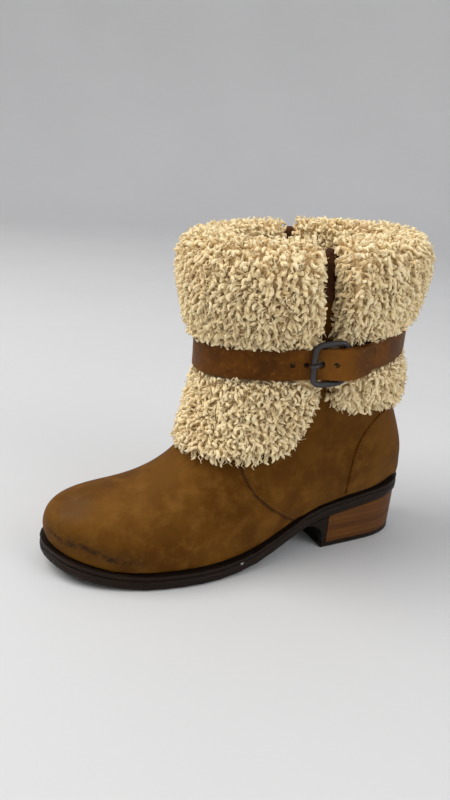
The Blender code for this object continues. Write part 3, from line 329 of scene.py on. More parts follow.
def smooth_leather(name, main, dark, light, rough_low, rough_high):
    """Handled, waxed strap leather with pull-up clouds and fine grain."""
    finish = Finish(name)
    clouds = finish.noise(48.0, 4.0, 0.6, distortion=0.3)
    mottle = finish.noise(230.0, 4.0, 0.65)
    colour = finish.blend(finish.spread(clouds, 0.35, 0.68), dark, main)
    colour = finish.blend(finish.spread(mottle, 0.48, 0.75, 0.0, 0.45), colour, light)
    colour = finish.blend(finish.math("MULTIPLY", finish.mark("rub"), 0.6), colour, light)
    grain = bpy.context.scene.boot_leather.grain
    fine = finish.bump(finish.noise(1300.0, 3.0, 0.6), grain * 0.7, 0.5)
    pores = finish.bump(finish.cells(800.0), grain, 0.4, fine)
    return finish.set(Base_Color=colour, Roughness=finish.spread(mottle, 0.3, 0.7, rough_low, rough_high),
                      Normal=pores, Specular_IOR_Level=0.16, Specular_Tint=(1.0, 0.75, 0.5))


def strap_leather():
    tone = bpy.context.scene.boot_leather
    return smooth_leather("strap leather", tuple(tone.strap), (0.070, 0.022, 0.0020), (0.270, 0.100, 0.0140), 0.45, 0.60)


def binding_leather():
    return smooth_leather("binding leather", (0.075, 0.026, 0.010), (0.040, 0.014, 0.006), (0.150, 0.055, 0.020), 0.5, 0.65)


def wool():
    """Cream locks, tan towards the roots, partly the wool's own tan and partly painted shade between the locks, each
    with its own tone and a fine crimp.
    """
    tone = bpy.context.scene.boot_wool
    finish = Finish("sheep wool")
    reach = finish.spread(finish.mark("tip"), 0.0, 0.62)
    warm = finish.noise(30.0, 3.0, 0.5)
    tip = finish.blend(finish.spread(warm, 0.35, 0.7, 0.0, 0.5), tuple(tone.tip), (0.88, 0.63, 0.31))
    tip = finish.blend(finish.math("MULTIPLY", finish.mark("tone"), 0.55), tip, (0.97, 0.84, 0.58))
    # Tan towards the roots: partly the wool's own tan, partly painted shade between the locks.
    colour = finish.blend(reach, tuple(tone.root), tip)
    crimp = finish.bump(finish.noise(1100.0, 3.0, 0.6), 0.0004, 0.45)
    fibres = finish.bump(finish.noise(2600.0, 2.0, 0.6, stretch=(1.0, 1.0, 0.35)), 0.0002, 0.4, crimp)
    return finish.set(Base_Color=colour, Roughness=0.95, Normal=fibres, Specular_IOR_Level=0.05,
                      Sheen_Weight=0.25, Sheen_Roughness=0.6, Sheen_Tint=(1.0, 0.85, 0.62))


def pelt():
    """The felted ground between the locks, in the roots' tan, which is partly painted shade, and dark brown next to the
    strap as painted shade.
    """
    tone = bpy.context.scene.boot_wool
    finish = Finish("wool ground")
    clumps = finish.noise(420.0, 4.0, 0.65)
    colour = finish.blend(finish.spread(clumps, 0.35, 0.7), tuple(0.85 * c for c in tone.root), tuple(tone.root))
    rise = finish.bump(finish.noise(700.0, 4.0, 0.7), 0.0012, 0.9)
    # Painted shade: the ground turns dark brown next to and under the strap.
    colour = finish.blend(finish.mark("strap_shade"), colour, (0.030, 0.018, 0.010))
    return finish.set(Base_Color=colour, Roughness=0.95, Normal=rise, Specular_IOR_Level=0.05, Sheen_Weight=0.1)


def fleece():
    """Short fleece of the insole and the deep lining, darker in the hollows between the curls as painted shade."""
    finish = Finish("lining fleece")
    curls = finish.cells(330.0)
    clumps = finish.noise(520.0, 4.0, 0.7)
    # Painted shade: darker towards the curls' edges, where the bump sinks between them.
    colour = finish.blend(finish.spread(curls, 0.1, 0.75), (0.66, 0.52, 0.33), (0.30, 0.19, 0.10))
    colour = finish.blend(finish.spread(clumps, 0.4, 0.7, 0.0, 0.5), colour, (0.74, 0.63, 0.44))
    rise = finish.bump(finish.math("ADD", finish.math("MULTIPLY", curls, -1.0), clumps), 0.0022, 1.0)
    return finish.set(Base_Color=colour, Roughness=0.95, Normal=rise, Specular_IOR_Level=0.15, Sheen_Weight=0.3)


def rubber():
    """Near-black brown rubber, dusty in its pores, with a ribbed underside."""
    tone = bpy.context.scene.boot_sole
    finish = Finish("sole rubber")
    dust = finish.noise(260.0, 5.0, 0.7)
    clouds = finish.noise(40.0, 3.0, 0.5)
    colour = finish.blend(finish.spread(dust, 0.52, 0.80, 0.0, 0.35), tuple(tone.rubber), (0.045, 0.034, 0.026))
    colour = finish.blend(finish.spread(clouds, 0.45, 0.7, 0.0, 0.4), colour, (0.020, 0.011, 0.007))
    away = finish.node("ShaderNodeVectorMath", {0: finish.place, 1: SOLE_NICK}, operation="DISTANCE").outputs["Value"]
    colour = finish.blend(finish.spread(away, 0.0016, 0.0007), colour, (0.42, 0.40, 0.37))
    down = finish.node("ShaderNodeSeparateXYZ", {0: finish.node("ShaderNodeNewGeometry").outputs["Normal"]}).outputs[2]
    under = finish.spread(down, -0.75, -0.95)
    ribs = finish.node("ShaderNodeTexWave", {"Vector": finish.place, "Scale": 62.0, "Distortion": 1.6, "Detail": 0.0,
                                             "Detail Scale": 0.6}, wave_type="BANDS", bands_direction="X").outputs[1]
    tread = finish.math("MULTIPLY", finish.spread(ribs, 0.25, 0.55), under)
    deep = finish.bump(tread, 0.0012, 0.9)
    skin = finish.bump(finish.noise(900.0, 4.0, 0.6), 0.00012, 0.7, deep)
    return finish.set(Base_Color=colour, Roughness=finish.spread(dust, 0.3, 0.7, 0.38, 0.60), Normal=skin,
                      Specular_IOR_Level=0.16, Specular_Tint=(1.0, 0.82, 0.68))


def stacked_leather():
    """Orange-brown layers with dark glue lines and a burnished grain."""
    tone = bpy.context.scene.boot_sole
    finish = Finish("stacked heel leather")
    height = finish.node("ShaderNodeSeparateXYZ", {0: finish.place}).outputs[2]
    wobble = finish.noise(35.0, 2.0, 0.5)
    level = finish.math("ADD", finish.math("MULTIPLY", height, 1.0 / tone.layer), finish.math("MULTIPLY", wobble, 0.25))
    share = finish.math("FRACT", level, 0.0)
    line = finish.spread(share, 0.86, 0.93)
    each = finish.node("ShaderNodeTexWhiteNoise", {"W": finish.math("FLOOR", level, 0.0)},
                       noise_dimensions="1D").outputs[0]
    grain = finish.noise(320.0, 5.0, 0.65, stretch=(0.25, 0.25, 2.4))
    colour = finish.blend(finish.spread(grain, 0.32, 0.70), (0.080, 0.027, 0.0050), tuple(tone.stack))
    colour = finish.blend(finish.math("MULTIPLY", each, 0.45), colour, (0.215, 0.083, 0.016))
    colour = finish.blend(finish.math("MULTIPLY", line, 0.65), colour, (0.048, 0.018, 0.008))
    colour = finish.blend(finish.spread(finish.noise(26.0, 3.0), 0.5, 0.75, 0.0, 0.45), colour, (0.10, 0.036, 0.014))
    step = finish.bump(finish.math("MULTIPLY", line, -1.0), 0.00025, 0.7)
    skin = finish.bump(grain, 0.00018, 0.6, step)
    return finish.set(Base_Color=colour, Roughness=finish.spread(grain, 0.3, 0.7, 0.42, 0.60), Normal=skin,
                      Specular_IOR_Level=0.12)


def gunmetal():
    """Dark cast metal, a little lighter in cloudy patches, which are a painted highlight."""
    tone = bpy.context.scene.boot_sole
    finish = Finish("gunmetal")
    worn = finish.noise(330.0, 4.0, 0.65)
    # Painted highlight: the metal is lightened in cloudy patches.
    colour = finish.blend(finish.spread(worn, 0.45, 0.75), tuple(tone.metal), (0.010, 0.010, 0.010))
    pits = finish.bump(finish.noise(1500.0, 3.0, 0.6), 0.00003, 0.4)
    return finish.set(Base_Color=colour, Specular_IOR_Level=0.12, Specular_Tint=(1.0, 0.92, 0.85),
                      Roughness=finish.spread(worn, 0.3, 0.7, 0.42, 0.56), Normal=pits)


def thread():
    """Waxed tonal thread with a fine twist."""
    tone = bpy.context.scene.boot_stitches
    finish = Finish("waxed thread")
    twist = finish.noise(2400.0, 2.0, 0.5)
    colour = finish.blend(finish.spread(twist, 0.35, 0.7), tuple(tone.thread), tuple(1.7 * c for c in tone.thread))
    return finish.set(Base_Color=colour, Roughness=0.7, Normal=finish.bump(twist, 0.00008, 0.8), Specular_IOR_Level=0.15)


def cut_edge():
    """The vamp's dark cut edge, which shows as a line along the seam."""
    finish = Finish("cut edge")
    wax = finish.noise(900.0, 3.0, 0.6)
    colour = finish.blend(finish.spread(wax, 0.35, 0.7), (0.028, 0.010, 0.003), (0.060, 0.022, 0.006))
    return finish.set(Base_Color=colour, Roughness=0.75, Normal=finish.bump(wax, 0.0001, 0.8), Specular_IOR_Level=0.1)


def floor_finish():
    """Pale matt floor with the faintest unevenness."""
    tone = bpy.context.scene.boot_stage
    finish = Finish("studio floor")
    cloud = finish.noise(3.0, 3.0, 0.5)
    colour = finish.blend(finish.spread(cloud, 0.3, 0.7), tuple(tone.floor), tuple(0.975 * c for c in tone.floor))
    return finish.set(Base_Color=colour, Roughness=finish.spread(cloud, 0.3, 0.7, 0.55, 0.62), Specular_IOR_Level=0.25)


def merged_copy(node):
    """A node's surface as a bmesh, with doubled points merged and pairs of triangles joined."""
    bm = bmesh.new()
    bm.from_mesh(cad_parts[node].data)
    bmesh.ops.remove_doubles(bm, verts=bm.verts[:], dist=MERGE_GAP)
    bmesh.ops.join_triangles(bm, faces=bm.faces[:], angle_face_threshold=math.radians(50),
                             angle_shape_threshold=math.radians(60))
    return bm


def new_piece(name, bm, slot, materials, *nodes):
    """An object made from a bmesh, riding on the boot's one body."""
    mesh = bpy.data.meshes.new(name)
    bm.to_mesh(mesh)
    bm.free()
    for left_over in ("custom_normal", "sharp_face", "sharp_edge"):
        if left_over in mesh.attributes:
            mesh.attributes.remove(mesh.attributes[left_over])
    for material in materials:
        mesh.materials.append(material)
    for face in mesh.polygons:
        face.material_index = 0
    mesh.shade_smooth()
    piece = bpy.data.objects.new(name, mesh)
    bpy.context.scene.collection.objects.link(piece)
    return declared(piece, slot, *nodes)


def declared(piece, slot, *nodes):
    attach(piece, BODY)
    if nodes:
        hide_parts(*nodes)
    return piece


def refined(piece, levels):
    """The piece with smooth subdivision worked into its mesh."""
    smooth = piece.modifiers.new("smooth form", "SUBSURF")
    smooth.levels = smooth.render_levels = levels
    shaped = bpy.data.meshes.new_from_object(piece.evaluated_get(bpy.context.evaluated_depsgraph_get()))
    rough = piece.data
    piece.modifiers.clear()
    piece.data = shaped
    bpy.data.meshes.remove(rough)
    return piece


def rounded(piece, width, segments=2, angle=35.0):
    """Softens a piece's sharp edges and leaves its broad faces smooth."""
    soft = piece.modifiers.new("rounded edges", "BEVEL")
    soft.width = width
    soft.segments = segments
    soft.limit_method = "ANGLE"
    soft.angle_limit = math.radians(angle)
    soft.harden_normals = True
    return piece


def points_of(mesh):
    points = np.empty(len(mesh.vertices) * 3)
    mesh.vertices.foreach_get("co", points)
    return points.reshape(-1, 3)


def normals_of(mesh):
    normals = np.empty(len(mesh.vertices) * 3)
    mesh.vertex_normals.foreach_get("vector", normals)
    return normals.reshape(-1, 3)


def move_points(mesh, points):
    mesh.vertices.foreach_set("co", np.ascontiguousarray(points, dtype=np.float32).ravel())
    mesh.update()


def add_mark(mesh, name, values):
    """A value on every point, for the material to read."""
    mark = mesh.attributes.get(name) or mesh.attributes.new(name, "FLOAT", "POINT")
    mark.data.foreach_set("value", np.ascontiguousarray(values, dtype=np.float32))


def tree_of(mesh):
    return BVHTree.FromPolygons([v.co[:] for v in mesh.vertices], [p.vertices[:] for p in mesh.polygons])


def node_tree_of(node):
    bm = bmesh.new()
    bm.from_mesh(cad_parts[node].data)
    tree = BVHTree.FromBMesh(bm)
    bm.free()
    return tree


def distances(tree, points):
    return np.array([tree.find_nearest(Vector(p))[3] for p in points])


def smooth_share(values, low, high):
    share = np.clip((values - low) / (high - low), 0.0, 1.0)
    return share * share * (3.0 - 2.0 * share)


def away_from_path(points, path):
    """Distance of each point from a path of straight stretches."""
    nearest = np.full(len(points), 1e9)
    for start, end in zip(path[:-1], path[1:]):
        run = end - start
        share = np.clip(((points - start) @ run) / (run @ run), 0.0, 1.0)
        nearest = np.minimum(nearest, np.linalg.norm(points - start - share[:, None] * run, axis=1))
    return nearest


def in_metres(table):
    return np.array(table, float) * MM


def hidden_inside(mesh):
    """One where a point lies on the inner wall, found by looking along its normal."""
    tree = tree_of(mesh)
    inside = np.zeros(len(mesh.vertices))
    for at, (point, normal) in enumerate(zip(points_of(mesh), normals_of(mesh))):
        way = Vector(normal)
        if tree.ray_cast(Vector(point) + way * 0.0006, way)[0] is not None:
            inside[at] = 1.0
    return inside


def crease_depth(points):
    """Depth of the worn creases at each point, in metres."""
    depth = np.zeros(len(points))
    for middle, way, half_length, half_width, deep in CREASES:
        away = points - np.array(middle) * MM
        way = np.array(way) / np.linalg.norm(way)
        along = away @ way
        across = np.linalg.norm(away - along[:, None] * way, axis=1)
        bend = np.exp(-(across / (half_width * MM)) ** 2) * np.exp(-(along / (half_length * MM)) ** 2)
        depth += deep * MM * bend
    return depth


def drawn_in_heel(points):
    """The heel's leather drawn in over the sole's edge, as it is pulled onto the last."""
    around = points[:, :2] - HEEL_CENTRE
    way = around / np.maximum(np.linalg.norm(around, axis=1, keepdims=True), 1e-6)
    behind = smooth_share(points[:, 0], 0.088, 0.126)
    level = np.exp(-((points[:, 2] - HEEL_DRAW_HEIGHT) / HEEL_DRAW_SPREAD) ** 2)
    moved = points.copy()
    moved[:, :2] -= way * (HEEL_DRAW * behind * level)[:, None]
    return moved


def smooth_lap(mesh, away):
    """Evens out the lap of the two panels, which the sewn line replaces."""
    bm = bmesh.new()
    bm.from_mesh(mesh)
    bm.verts.ensure_lookup_table()
    near = [bm.verts[at] for at in np.flatnonzero(away < 0.0042)]
    for _ in range(8):
        bmesh.ops.smooth_vert(bm, verts=near, factor=0.5, use_axis_x=True, use_axis_y=True, use_axis_z=True)
    bm.to_mesh(mesh)
    bm.free()


class BOOT_OT_upper(bpy.types.Operator):
    """Make the leather upper with its worn creases, seam and fleece-lined inside"""
    bl_idname = "boot.upper"
    bl_label = "Leather upper"

    def execute(self, context):
        materials = (known("waxed nubuck", waxed_leather), known("lining fleece", fleece))
        piece = new_piece("leather_upper", merged_copy("upper"), "waxed_leather", materials, "upper")
        inside = hidden_inside(piece.data)
        add_mark(piece.data, "inside", inside)
        refined(piece, 2)
        mesh = piece.data
        points, normals = points_of(mesh), normals_of(mesh)
        inside = np.empty(len(points), np.float32)
        mesh.attributes["inside"].data.foreach_get("value", inside)
        outer = 1.0 - smooth_share(inside, 0.2, 0.6)
        depth = crease_depth(points) * context.scene.boot_leather.crease
        seam = away_from_path(points, in_metres(VAMP_SEAM))
        points = points - normals * (depth * outer)[:, None]
        move_points(mesh, drawn_in_heel(points))
        smooth_lap(mesh, away_from_path(points, in_metres(VAMP_LAP)) * (outer > 0.5) + (outer <= 0.5))
        streak = away_from_path(points, in_metres(TOE_STREAK))
        fade = smooth_share(-points[:, 0], 0.070, 0.098)
        core = 0.90 * (1.0 - smooth_share(streak, 0.0010, 0.0036))
        halo = 0.42 * (1.0 - smooth_share(streak, 0.0015, 0.0135))
        add_mark(mesh, "scuff", np.maximum(core, halo) * fade)
        # Mask of the toe top's greyish patch, wax bloom with painted sheen.
        patch = np.linalg.norm(points - in_metres(TOE_PATCH), axis=1)
        add_mark(mesh, "patch", 1.0 - smooth_share(patch, 0.004, TOE_PATCH_REACH * MM))
        add_mark(mesh, "seam", (1.0 - smooth_share(seam, 0.0002, 0.0011)) * 0.85)
        # Masks for the painted light on faces that look up and the painted shade towards the top of the shaft.
        add_mark(mesh, "facing_up", smooth_share(normals[:, 2], 0.15, 0.95))
        add_mark(mesh, "height_share", smooth_share(points[:, 2], 0.02, 0.13))
        for face in mesh.polygons:
            if np.mean([inside[v] for v in face.vertices]) > 0.6:
                face.material_index = 1
        return {"FINISHED"}


def outer_layer(points):
    """One for each point of a two-layered sheet round the heel that is on its outer layer."""
    lookup = KDTree(len(points))
    for at, point in enumerate(points):
        lookup.insert(Vector(point), at)
    lookup.balance()
    middle = Vector((0.085, 0.0, 0.0))
    layer = np.zeros(len(points))
    for at, point in enumerate(points):
        partner = lookup.find_n(Vector(point), 2)[1][1]
        own = (Vector(point) - middle).xy.length
        other = (Vector(points[partner]) - middle).xy.length
        layer[at] = 1.0 if own > other else 0.0
    return layer


class BOOT_OT_counter(bpy.types.Operator):
    """Lay the heel counter on the quarter as one skin with a rounded edge"""
    bl_idname = "boot.counter"
    bl_label = "Heel counter"

    def execute(self, context):
        material = known("waxed nubuck", waxed_leather)
        piece = new_piece("counter_panel", merged_copy("heel_counter"), "waxed_leather", (material,), "heel_counter")
        add_mark(piece.data, "layer", outer_layer(points_of(piece.data)))
        refined(piece, 2)
        mesh = piece.data
        points = points_of(mesh)
        layer = np.empty(len(points), np.float32)
        mesh.attributes["layer"].data.foreach_get("value", layer)
        skin = tree_of(bpy.data.objects["leather_upper"].data)
        thick = context.scene.boot_leather.counter
        laid = points.copy()
        for at, point in enumerate(points):
            place, normal, _, _ = skin.find_nearest(Vector(point))
            if normal.dot(Vector(point) - place) < 0:
                normal = -normal
            laid[at] = place + normal * (layer[at] * thick - 0.0002)
        move_points(mesh, laid)
        normals = normals_of(mesh)
        # Masks for the painted light on faces that look up and the painted shade towards the top of the shaft, weaker
        # here.
        add_mark(mesh, "facing_up", smooth_share(normals[:, 2], 0.15, 0.95))
        add_mark(mesh, "height_share", smooth_share(laid[:, 2], 0.02, 0.13) * 0.7)
        add_mark(mesh, "seam", (1.0 - smooth_share(layer, 0.30, 0.80)) * 0.8)
        return {"FINISHED"}


class BOOT_OT_facings(bpy.types.Operator):
    """Dress the leather facings of the two side slits"""
    bl_idname = "boot.facings"
    bl_label = "Slit facings"

    def execute(self, context):
        material = known("binding leather", binding_leather)
        for side in ("lateral", "medial"):
            node = "side_facing_" + side
            piece = new_piece("slit_binding_" + side, merged_copy(node), "strap_leather", (material,), node)
            refined(piece, 1)
        return {"FINISHED"}


def make_pelt(name, node, context):
    """The cuff's felted ground: its solid drawn in under the locks, except where the strap presses."""
    piece = new_piece(name, merged_copy(node), "sheepskin", (known("wool ground", pelt),), node)
    refined(piece, 1)
    mesh = piece.data
    points, normals = points_of(mesh), normals_of(mesh)
    from_leather = distances(node_tree_of("upper"), points)
    from_strap = distances(node_tree_of("strap"), points)
    room = context.scene.boot_wool.depth * smooth_share(from_strap, 0.0015, 0.0085)
    draw = np.minimum(room, 0.45 * from_leather) * (from_leather > 0.0026)
    add_mark(mesh, "wool", smooth_share(from_leather, 0.0016, 0.0022))
    # Mask of the painted shade next to and under the strap.
    add_mark(mesh, "strap_shade", 1.0 - smooth_share(from_strap, 0.0011, 0.0024))
    move_points(mesh, points - normals * draw[:, None])
    return piece


class BOOT_OT_pelt(bpy.types.Operator):
    """Make the wool's ground for both folded cuffs"""
    bl_idname = "boot.pelt"
    bl_label = "Cuff pelt"

    def execute(self, context):
        make_pelt("pelt_front", "cuff_front", context)
        make_pelt("pelt_back", "cuff_back", context)
        return {"FINISHED"}


def triangle_arrays(mesh):
    """Corner places, corner normals and areas of a mesh's triangles, with their point numbers."""
    mesh.calc_loop_triangles()
    corners = np.empty(len(mesh.loop_triangles) * 3, np.int32)
    mesh.loop_triangles.foreach_get("vertices", corners)
    corners = corners.reshape(-1, 3)
    places = points_of(mesh)[corners]
    normals = normals_of(mesh)[corners]
    area = 0.5 * np.linalg.norm(np.cross(places[:, 1] - places[:, 0], places[:, 2] - places[:, 0]), axis=1)
    return corners, places, normals, area


def scattered_roots(mesh, keep, spacing, rng):
    """Evenly scattered places on the kept triangles, no two nearer than the spacing, with normals."""
    corners, places, normals, area = triangle_arrays(mesh)
    area = area * (keep[corners].mean(axis=1) > 0.3)
    count = int(7.0 * area.sum() / spacing ** 2)
    chosen = rng.choice(len(area), count, p=area / area.sum())
    first, second = rng.random(count), rng.random(count)
    over = first + second > 1.0
    first[over], second[over] = 1.0 - first[over], 1.0 - second[over]
    weights = np.stack([1.0 - first - second, first, second], axis=1)[:, :, None]
    found = (places[chosen] * weights).sum(axis=1)
    facing = (normals[chosen] * weights).sum(axis=1)
    facing /= np.linalg.norm(facing, axis=1, keepdims=True)
    taken = {}
    kept = []
    cells = np.floor(found / spacing).astype(int)
    around = [(a, b, c) for a in (-1, 0, 1) for b in (-1, 0, 1) for c in (-1, 0, 1)]
    for at, (cell, place) in enumerate(zip(map(tuple, cells), found)):
        near = (taken.get((cell[0] + a, cell[1] + b, cell[2] + c)) for a, b, c in around)
        if any(other is not None and ((found[other] - place) ** 2).sum() < spacing ** 2 for other in near):
            continue
        if cell not in taken:
            taken[cell] = at
            kept.append(at)
    return found[kept], facing[kept]


def lock_template(sides, rings):
    """A closed spindle of unit length and unit radius, made from a ball, to be curled into a lock."""
    bm = bmesh.new()
    bmesh.ops.create_uvsphere(bm, u_segments=sides, v_segments=rings, radius=1.0)
    bmesh.ops.transform(bm, matrix=Matrix.Translation((0, 0, 0.5)) @ Matrix.Diagonal((1, 1, 0.5, 1)), verts=bm.verts[:])
    bm.verts.ensure_lookup_table()
    points = np.array([v.co[:] for v in bm.verts])
    faces = [[v.index for v in f.verts] for f in bm.faces]
    bm.free()
    swell = 0.88 + 0.22 * points[:, 2]
    points[:, :2] *= swell[:, None]
    return points, faces


def across_frame(ways):
    """Two directions square to each way and to each other."""
    helper = np.where(np.abs(ways[:, 2:3]) < 0.9, [[0.0, 0.0, 1.0]], [[1.0, 0.0, 0.0]])
    first = np.cross(ways, helper)
    first /= np.linalg.norm(first, axis=1, keepdims=True)
    return first, np.cross(ways, first)


def joined_mesh(name, points, faces, marks, material):
    """One mesh from many copies of a small one: points is copies by points by three."""
    copies, each = points.shape[:2]
    lengths = np.array([len(f) for f in faces])
    corners = np.concatenate(faces)
    mesh = bpy.data.meshes.new(name)
    mesh.vertices.add(copies * each)
    mesh.loops.add(copies * len(corners))
    mesh.polygons.add(copies * len(faces))
    mesh.vertices.foreach_set("co", points.astype(np.float32).ravel())
    numbers = (np.arange(copies)[:, None] * each + corners[None, :]).ravel()
    mesh.loops.foreach_set("vertex_index", numbers.astype(np.int32))
    starts = np.concatenate([[0], np.cumsum(np.tile(lengths, copies))[:-1]])
    mesh.polygons.foreach_set("loop_start", starts.astype(np.int32))
    mesh.update(calc_edges=True)
    mesh.validate()
    for mark, values in marks.items():
        add_mark(mesh, mark, values.ravel())
    mesh.materials.append(material)
    mesh.shade_smooth()
    return mesh


def curled_locks(roots, ways, droop, lengths, widths, curl, turns, template, rng):
    """Every lock's points, with its tip share and tone: a spindle bent down and wound about its way."""
    base, _ = template
    share = base[:, 2]
    count = len(roots)
    first, second = across_frame(ways)
    phase = rng.random(count) * 2.0 * math.pi
    spin = np.where(rng.random(count) < 0.5, -1.0, 1.0) * turns * (0.7 + 0.6 * rng.random(count))
    angle = phase[:, None] + spin[:, None] * 2.0 * math.pi * share[None, :]
    swing = curl[:, None] * np.sqrt(share)[None, :]
    side_a = swing * (np.cos(angle) - np.cos(phase)[:, None]) + widths[:, None] * base[None, :, 0]
    side_b = swing * (np.sin(angle) - np.sin(phase)[:, None]) + widths[:, None] * base[None, :, 1]
    up = lengths[:, None] * share[None, :]
    points = roots[:, None, :] + ways[:, None, :] * up[:, :, None]
    points = points + first[:, None, :] * side_a[:, :, None] + second[:, None, :] * side_b[:, :, None]
    points[:, :, 2] -= (droop * lengths)[:, None] * share[None, :] ** 2
    tone = np.repeat(rng.random(count)[:, None], len(share), axis=1)
    tip = np.repeat(share[None, :], count, axis=0)
    return points, {"tip": tip, "tone": tone}


def grow_locks(name, pelt_piece, spacing, length, width, curl, turns, template, lean, rng, limit=2950):
    """Covers a pelt with locks, in pieces of at most the limit each."""
    mesh = pelt_piece.data
    keep = np.empty(len(mesh.vertices), np.float32)
    mesh.attributes["wool"].data.foreach_get("value", keep)
    roots, facing = scattered_roots(mesh, keep, spacing, rng)
    gap = distances(node_tree_of("strap"), roots)
    holes = np.array([np.linalg.norm(roots - hole, axis=1) for hole in in_metres(STRAP_HOLES)])
    clear = (gap > STRAP_ROOM) & (holes.min(axis=0) > HOLE_ROOM)
    roots, facing, gap = roots[clear], facing[clear], gap[clear]
    count = len(roots)
    free = smooth_share(gap, 0.0015, 0.0075)
    jitter = rng.normal(0.0, 0.22, (count, 3))
    down = np.zeros((count, 3))
    down[:, 2] = -lean * (0.25 + 0.75 * free)
    ways = facing + down + jitter
    ways /= np.linalg.norm(ways, axis=1, keepdims=True)
    lengths = length * (0.78 + 0.44 * rng.random(count)) * (0.42 + 0.58 * free)
    widths = width * (0.75 + 0.5 * rng.random(count)) * (0.8 + 0.2 * free)
    droop = 0.22 * rng.random(count) * free
    curls = curl * (0.6 + 0.8 * rng.random(count))
    points, marks = curled_locks(roots, ways, droop, lengths, widths, curls, turns, template, rng)
    order = rng.permutation(count)
    made = []
    parts = int(math.ceil(count / limit))
    for part in range(parts):
        pick = order[part::parts]
        label = "%s_%d" % (name, part + 1)
        chosen = {mark: values[pick] for mark, values in marks.items()}
        shaped = joined_mesh(label, points[pick], template[1], chosen, known("sheep wool", wool))
        piece = bpy.data.objects.new(label, shaped)
        bpy.context.scene.collection.objects.link(piece)
        made.append(declared(piece, "sheepskin"))
    return made


class BOOT_OT_wool(bpy.types.Operator):
    """Grow the curled locks and the finer wisps over both cuffs"""
    bl_idname = "boot.wool"
    bl_label = "Wool locks"

    def execute(self, context):
        tone = context.scene.boot_wool
        rng = np.random.default_rng(SEED)
        thick = lock_template(6, 6)
        fine = lock_template(3, 6)
        for side in ("front", "back"):
            ground = bpy.data.objects["pelt_" + side]
            grow_locks("locks_" + side, ground, tone.spacing, tone.length, tone.width, 0.0013, 0.9, thick, 0.55, rng)
            grow_locks("wisps_" + side, ground, tone.spacing * 0.92, tone.length * 1.02, tone.width * 0.36, 0.0015,
                       1.5, fine, 0.50, rng, limit=6000)
        return {"FINISHED"}


class BOOT_OT_insole(bpy.types.Operator):
    """Lay the fleece insole"""
    bl_idname = "boot.insole"
    bl_label = "Fleece insole"

    def execute(self, context):
        piece = new_piece("fleece_insole", merged_copy("insole"), "insole_fleece",
                          (known("lining fleece", fleece),), "insole")
        rounded(piece, 0.0008)
        return {"FINISHED"}


class BOOT_OT_strap(bpy.types.Operator):
    """Dress the strap in waxed leather with rounded edges"""
    bl_idname = "boot.strap"
    bl_label = "Strap"

    def execute(self, context):
        piece = new_piece("leather_strap", merged_copy("strap"), "strap_leather",
                          (known("strap leather", strap_leather),), "strap")
        points = points_of(piece.data)
        handled = np.linalg.norm(points - in_metres(STRAP_HANDLED), axis=1)
        add_mark(piece.data, "rub", 1.0 - smooth_share(handled, 0.008, 0.019))
        rounded(piece, 0.0005, 3, 40.0)
        return {"FINISHED"}


class BOOT_OT_buckle(bpy.types.Operator):
    """Smooth the buckle's frame and prong"""
    bl_idname = "boot.buckle"
    bl_label = "Buckle"

    def execute(self, context):
        for name, node in (("cast_buckle", "buckle_frame"), ("cast_prong", "buckle_prong")):
            piece = new_piece(name, merged_copy(node), "gunmetal", (known("gunmetal", gunmetal),), node)
            refined(piece, 2)
            move_points(piece.data, points_of(piece.data) + normals_of(piece.data) * CAST_SWELL)
        return {"FINISHED"}


class BOOT_OT_sole(bpy.types.Operator):
    """Round the sole's rubber layers and the heel's stack"""
    bl_idname = "boot.sole"
    bl_label = "Sole and heel"

    def execute(self, context):
        width = context.scene.boot_sole.edge
        for name, node in (("rubber_outsole", "outsole"), ("rubber_midsole", "midsole"),
                           ("rubber_breast", "heel_breast"), ("rubber_top_lift", "top_lift")):
            piece = new_piece(name, merged_copy(node), "sole_rubber", (known("sole rubber", rubber),), node)
            rounded(piece, width)
        piece = new_piece("leather_stack", merged_copy("heel_stack"), "stacked_leather",
                          (known("stacked heel leather", stacked_leather),), "heel_stack")
        rounded(piece, width * 0.6)
        return {"FINISHED"}


def even_path(points, pitch):
    """Places at an even pitch along a path, each with the way it runs there."""
    points = np.asarray(points, float)
    steps = np.linalg.norm(np.diff(points, axis=0), axis=1)
    run = np.concatenate([[0.0], np.cumsum(steps)])
    at = np.arange(pitch, run[-1], pitch)
    places = np.stack([np.interp(at, run, points[:, k]) for k in range(3)], axis=1)
    ahead = np.stack([np.interp(at + pitch * 0.5, run, points[:, k]) for k in range(3)], axis=1)
    ways = ahead - places
    return places, ways / np.maximum(np.linalg.norm(ways, axis=1, keepdims=True), 1e-9)


def stitch_row(name, path, side, skin, material, pitch, length, radius):
    """Short rounded stitches along a path, a little to one side of it, lying on the leather."""
    template = lock_template(6, 4)
    places, ways = even_path(path, pitch)
    copies = []
    for place, way in zip(places, ways):
        on, normal, _, _ = skin.find_nearest(Vector(place))
        way = Vector(way)
        beside = way.cross(normal).normalized()
        on, normal, _, _ = skin.find_nearest(on + beside * side)
        along = (way - normal * way.dot(normal)).normalized()
        beside = normal.cross(along)
        matrix = Matrix((beside, normal, along)).transposed().to_4x4()
        matrix.translation = on + normal * radius * 0.15 - along * length * 0.5
        sized = template[0] * np.array([radius, radius, length])
        copies.append([matrix @ Vector(p) for p in sized])
    points = np.array(copies)
    mesh = joined_mesh(name, points, template[1], {}, material)
    piece = bpy.data.objects.new(name, mesh)
    bpy.context.scene.collection.objects.link(piece)
    return declared(piece, "waxed_leather")


def counter_front_edge(side):
    """The counter's front edge on one side, from the sole up, read from the laid panel."""
    mesh = bpy.data.objects["counter_panel"].data
    points = points_of(mesh)
    points = points[points[:, 1] * side > 0.005]
    levels = np.arange(points[:, 2].min() + 0.004, points[:, 2].max() - 0.003, 0.005)
    path = []
    for level in levels:
        band = points[np.abs(points[:, 2] - level) < 0.003]
        path.append(band[band[:, 0].argmin()])
    return np.array(path)


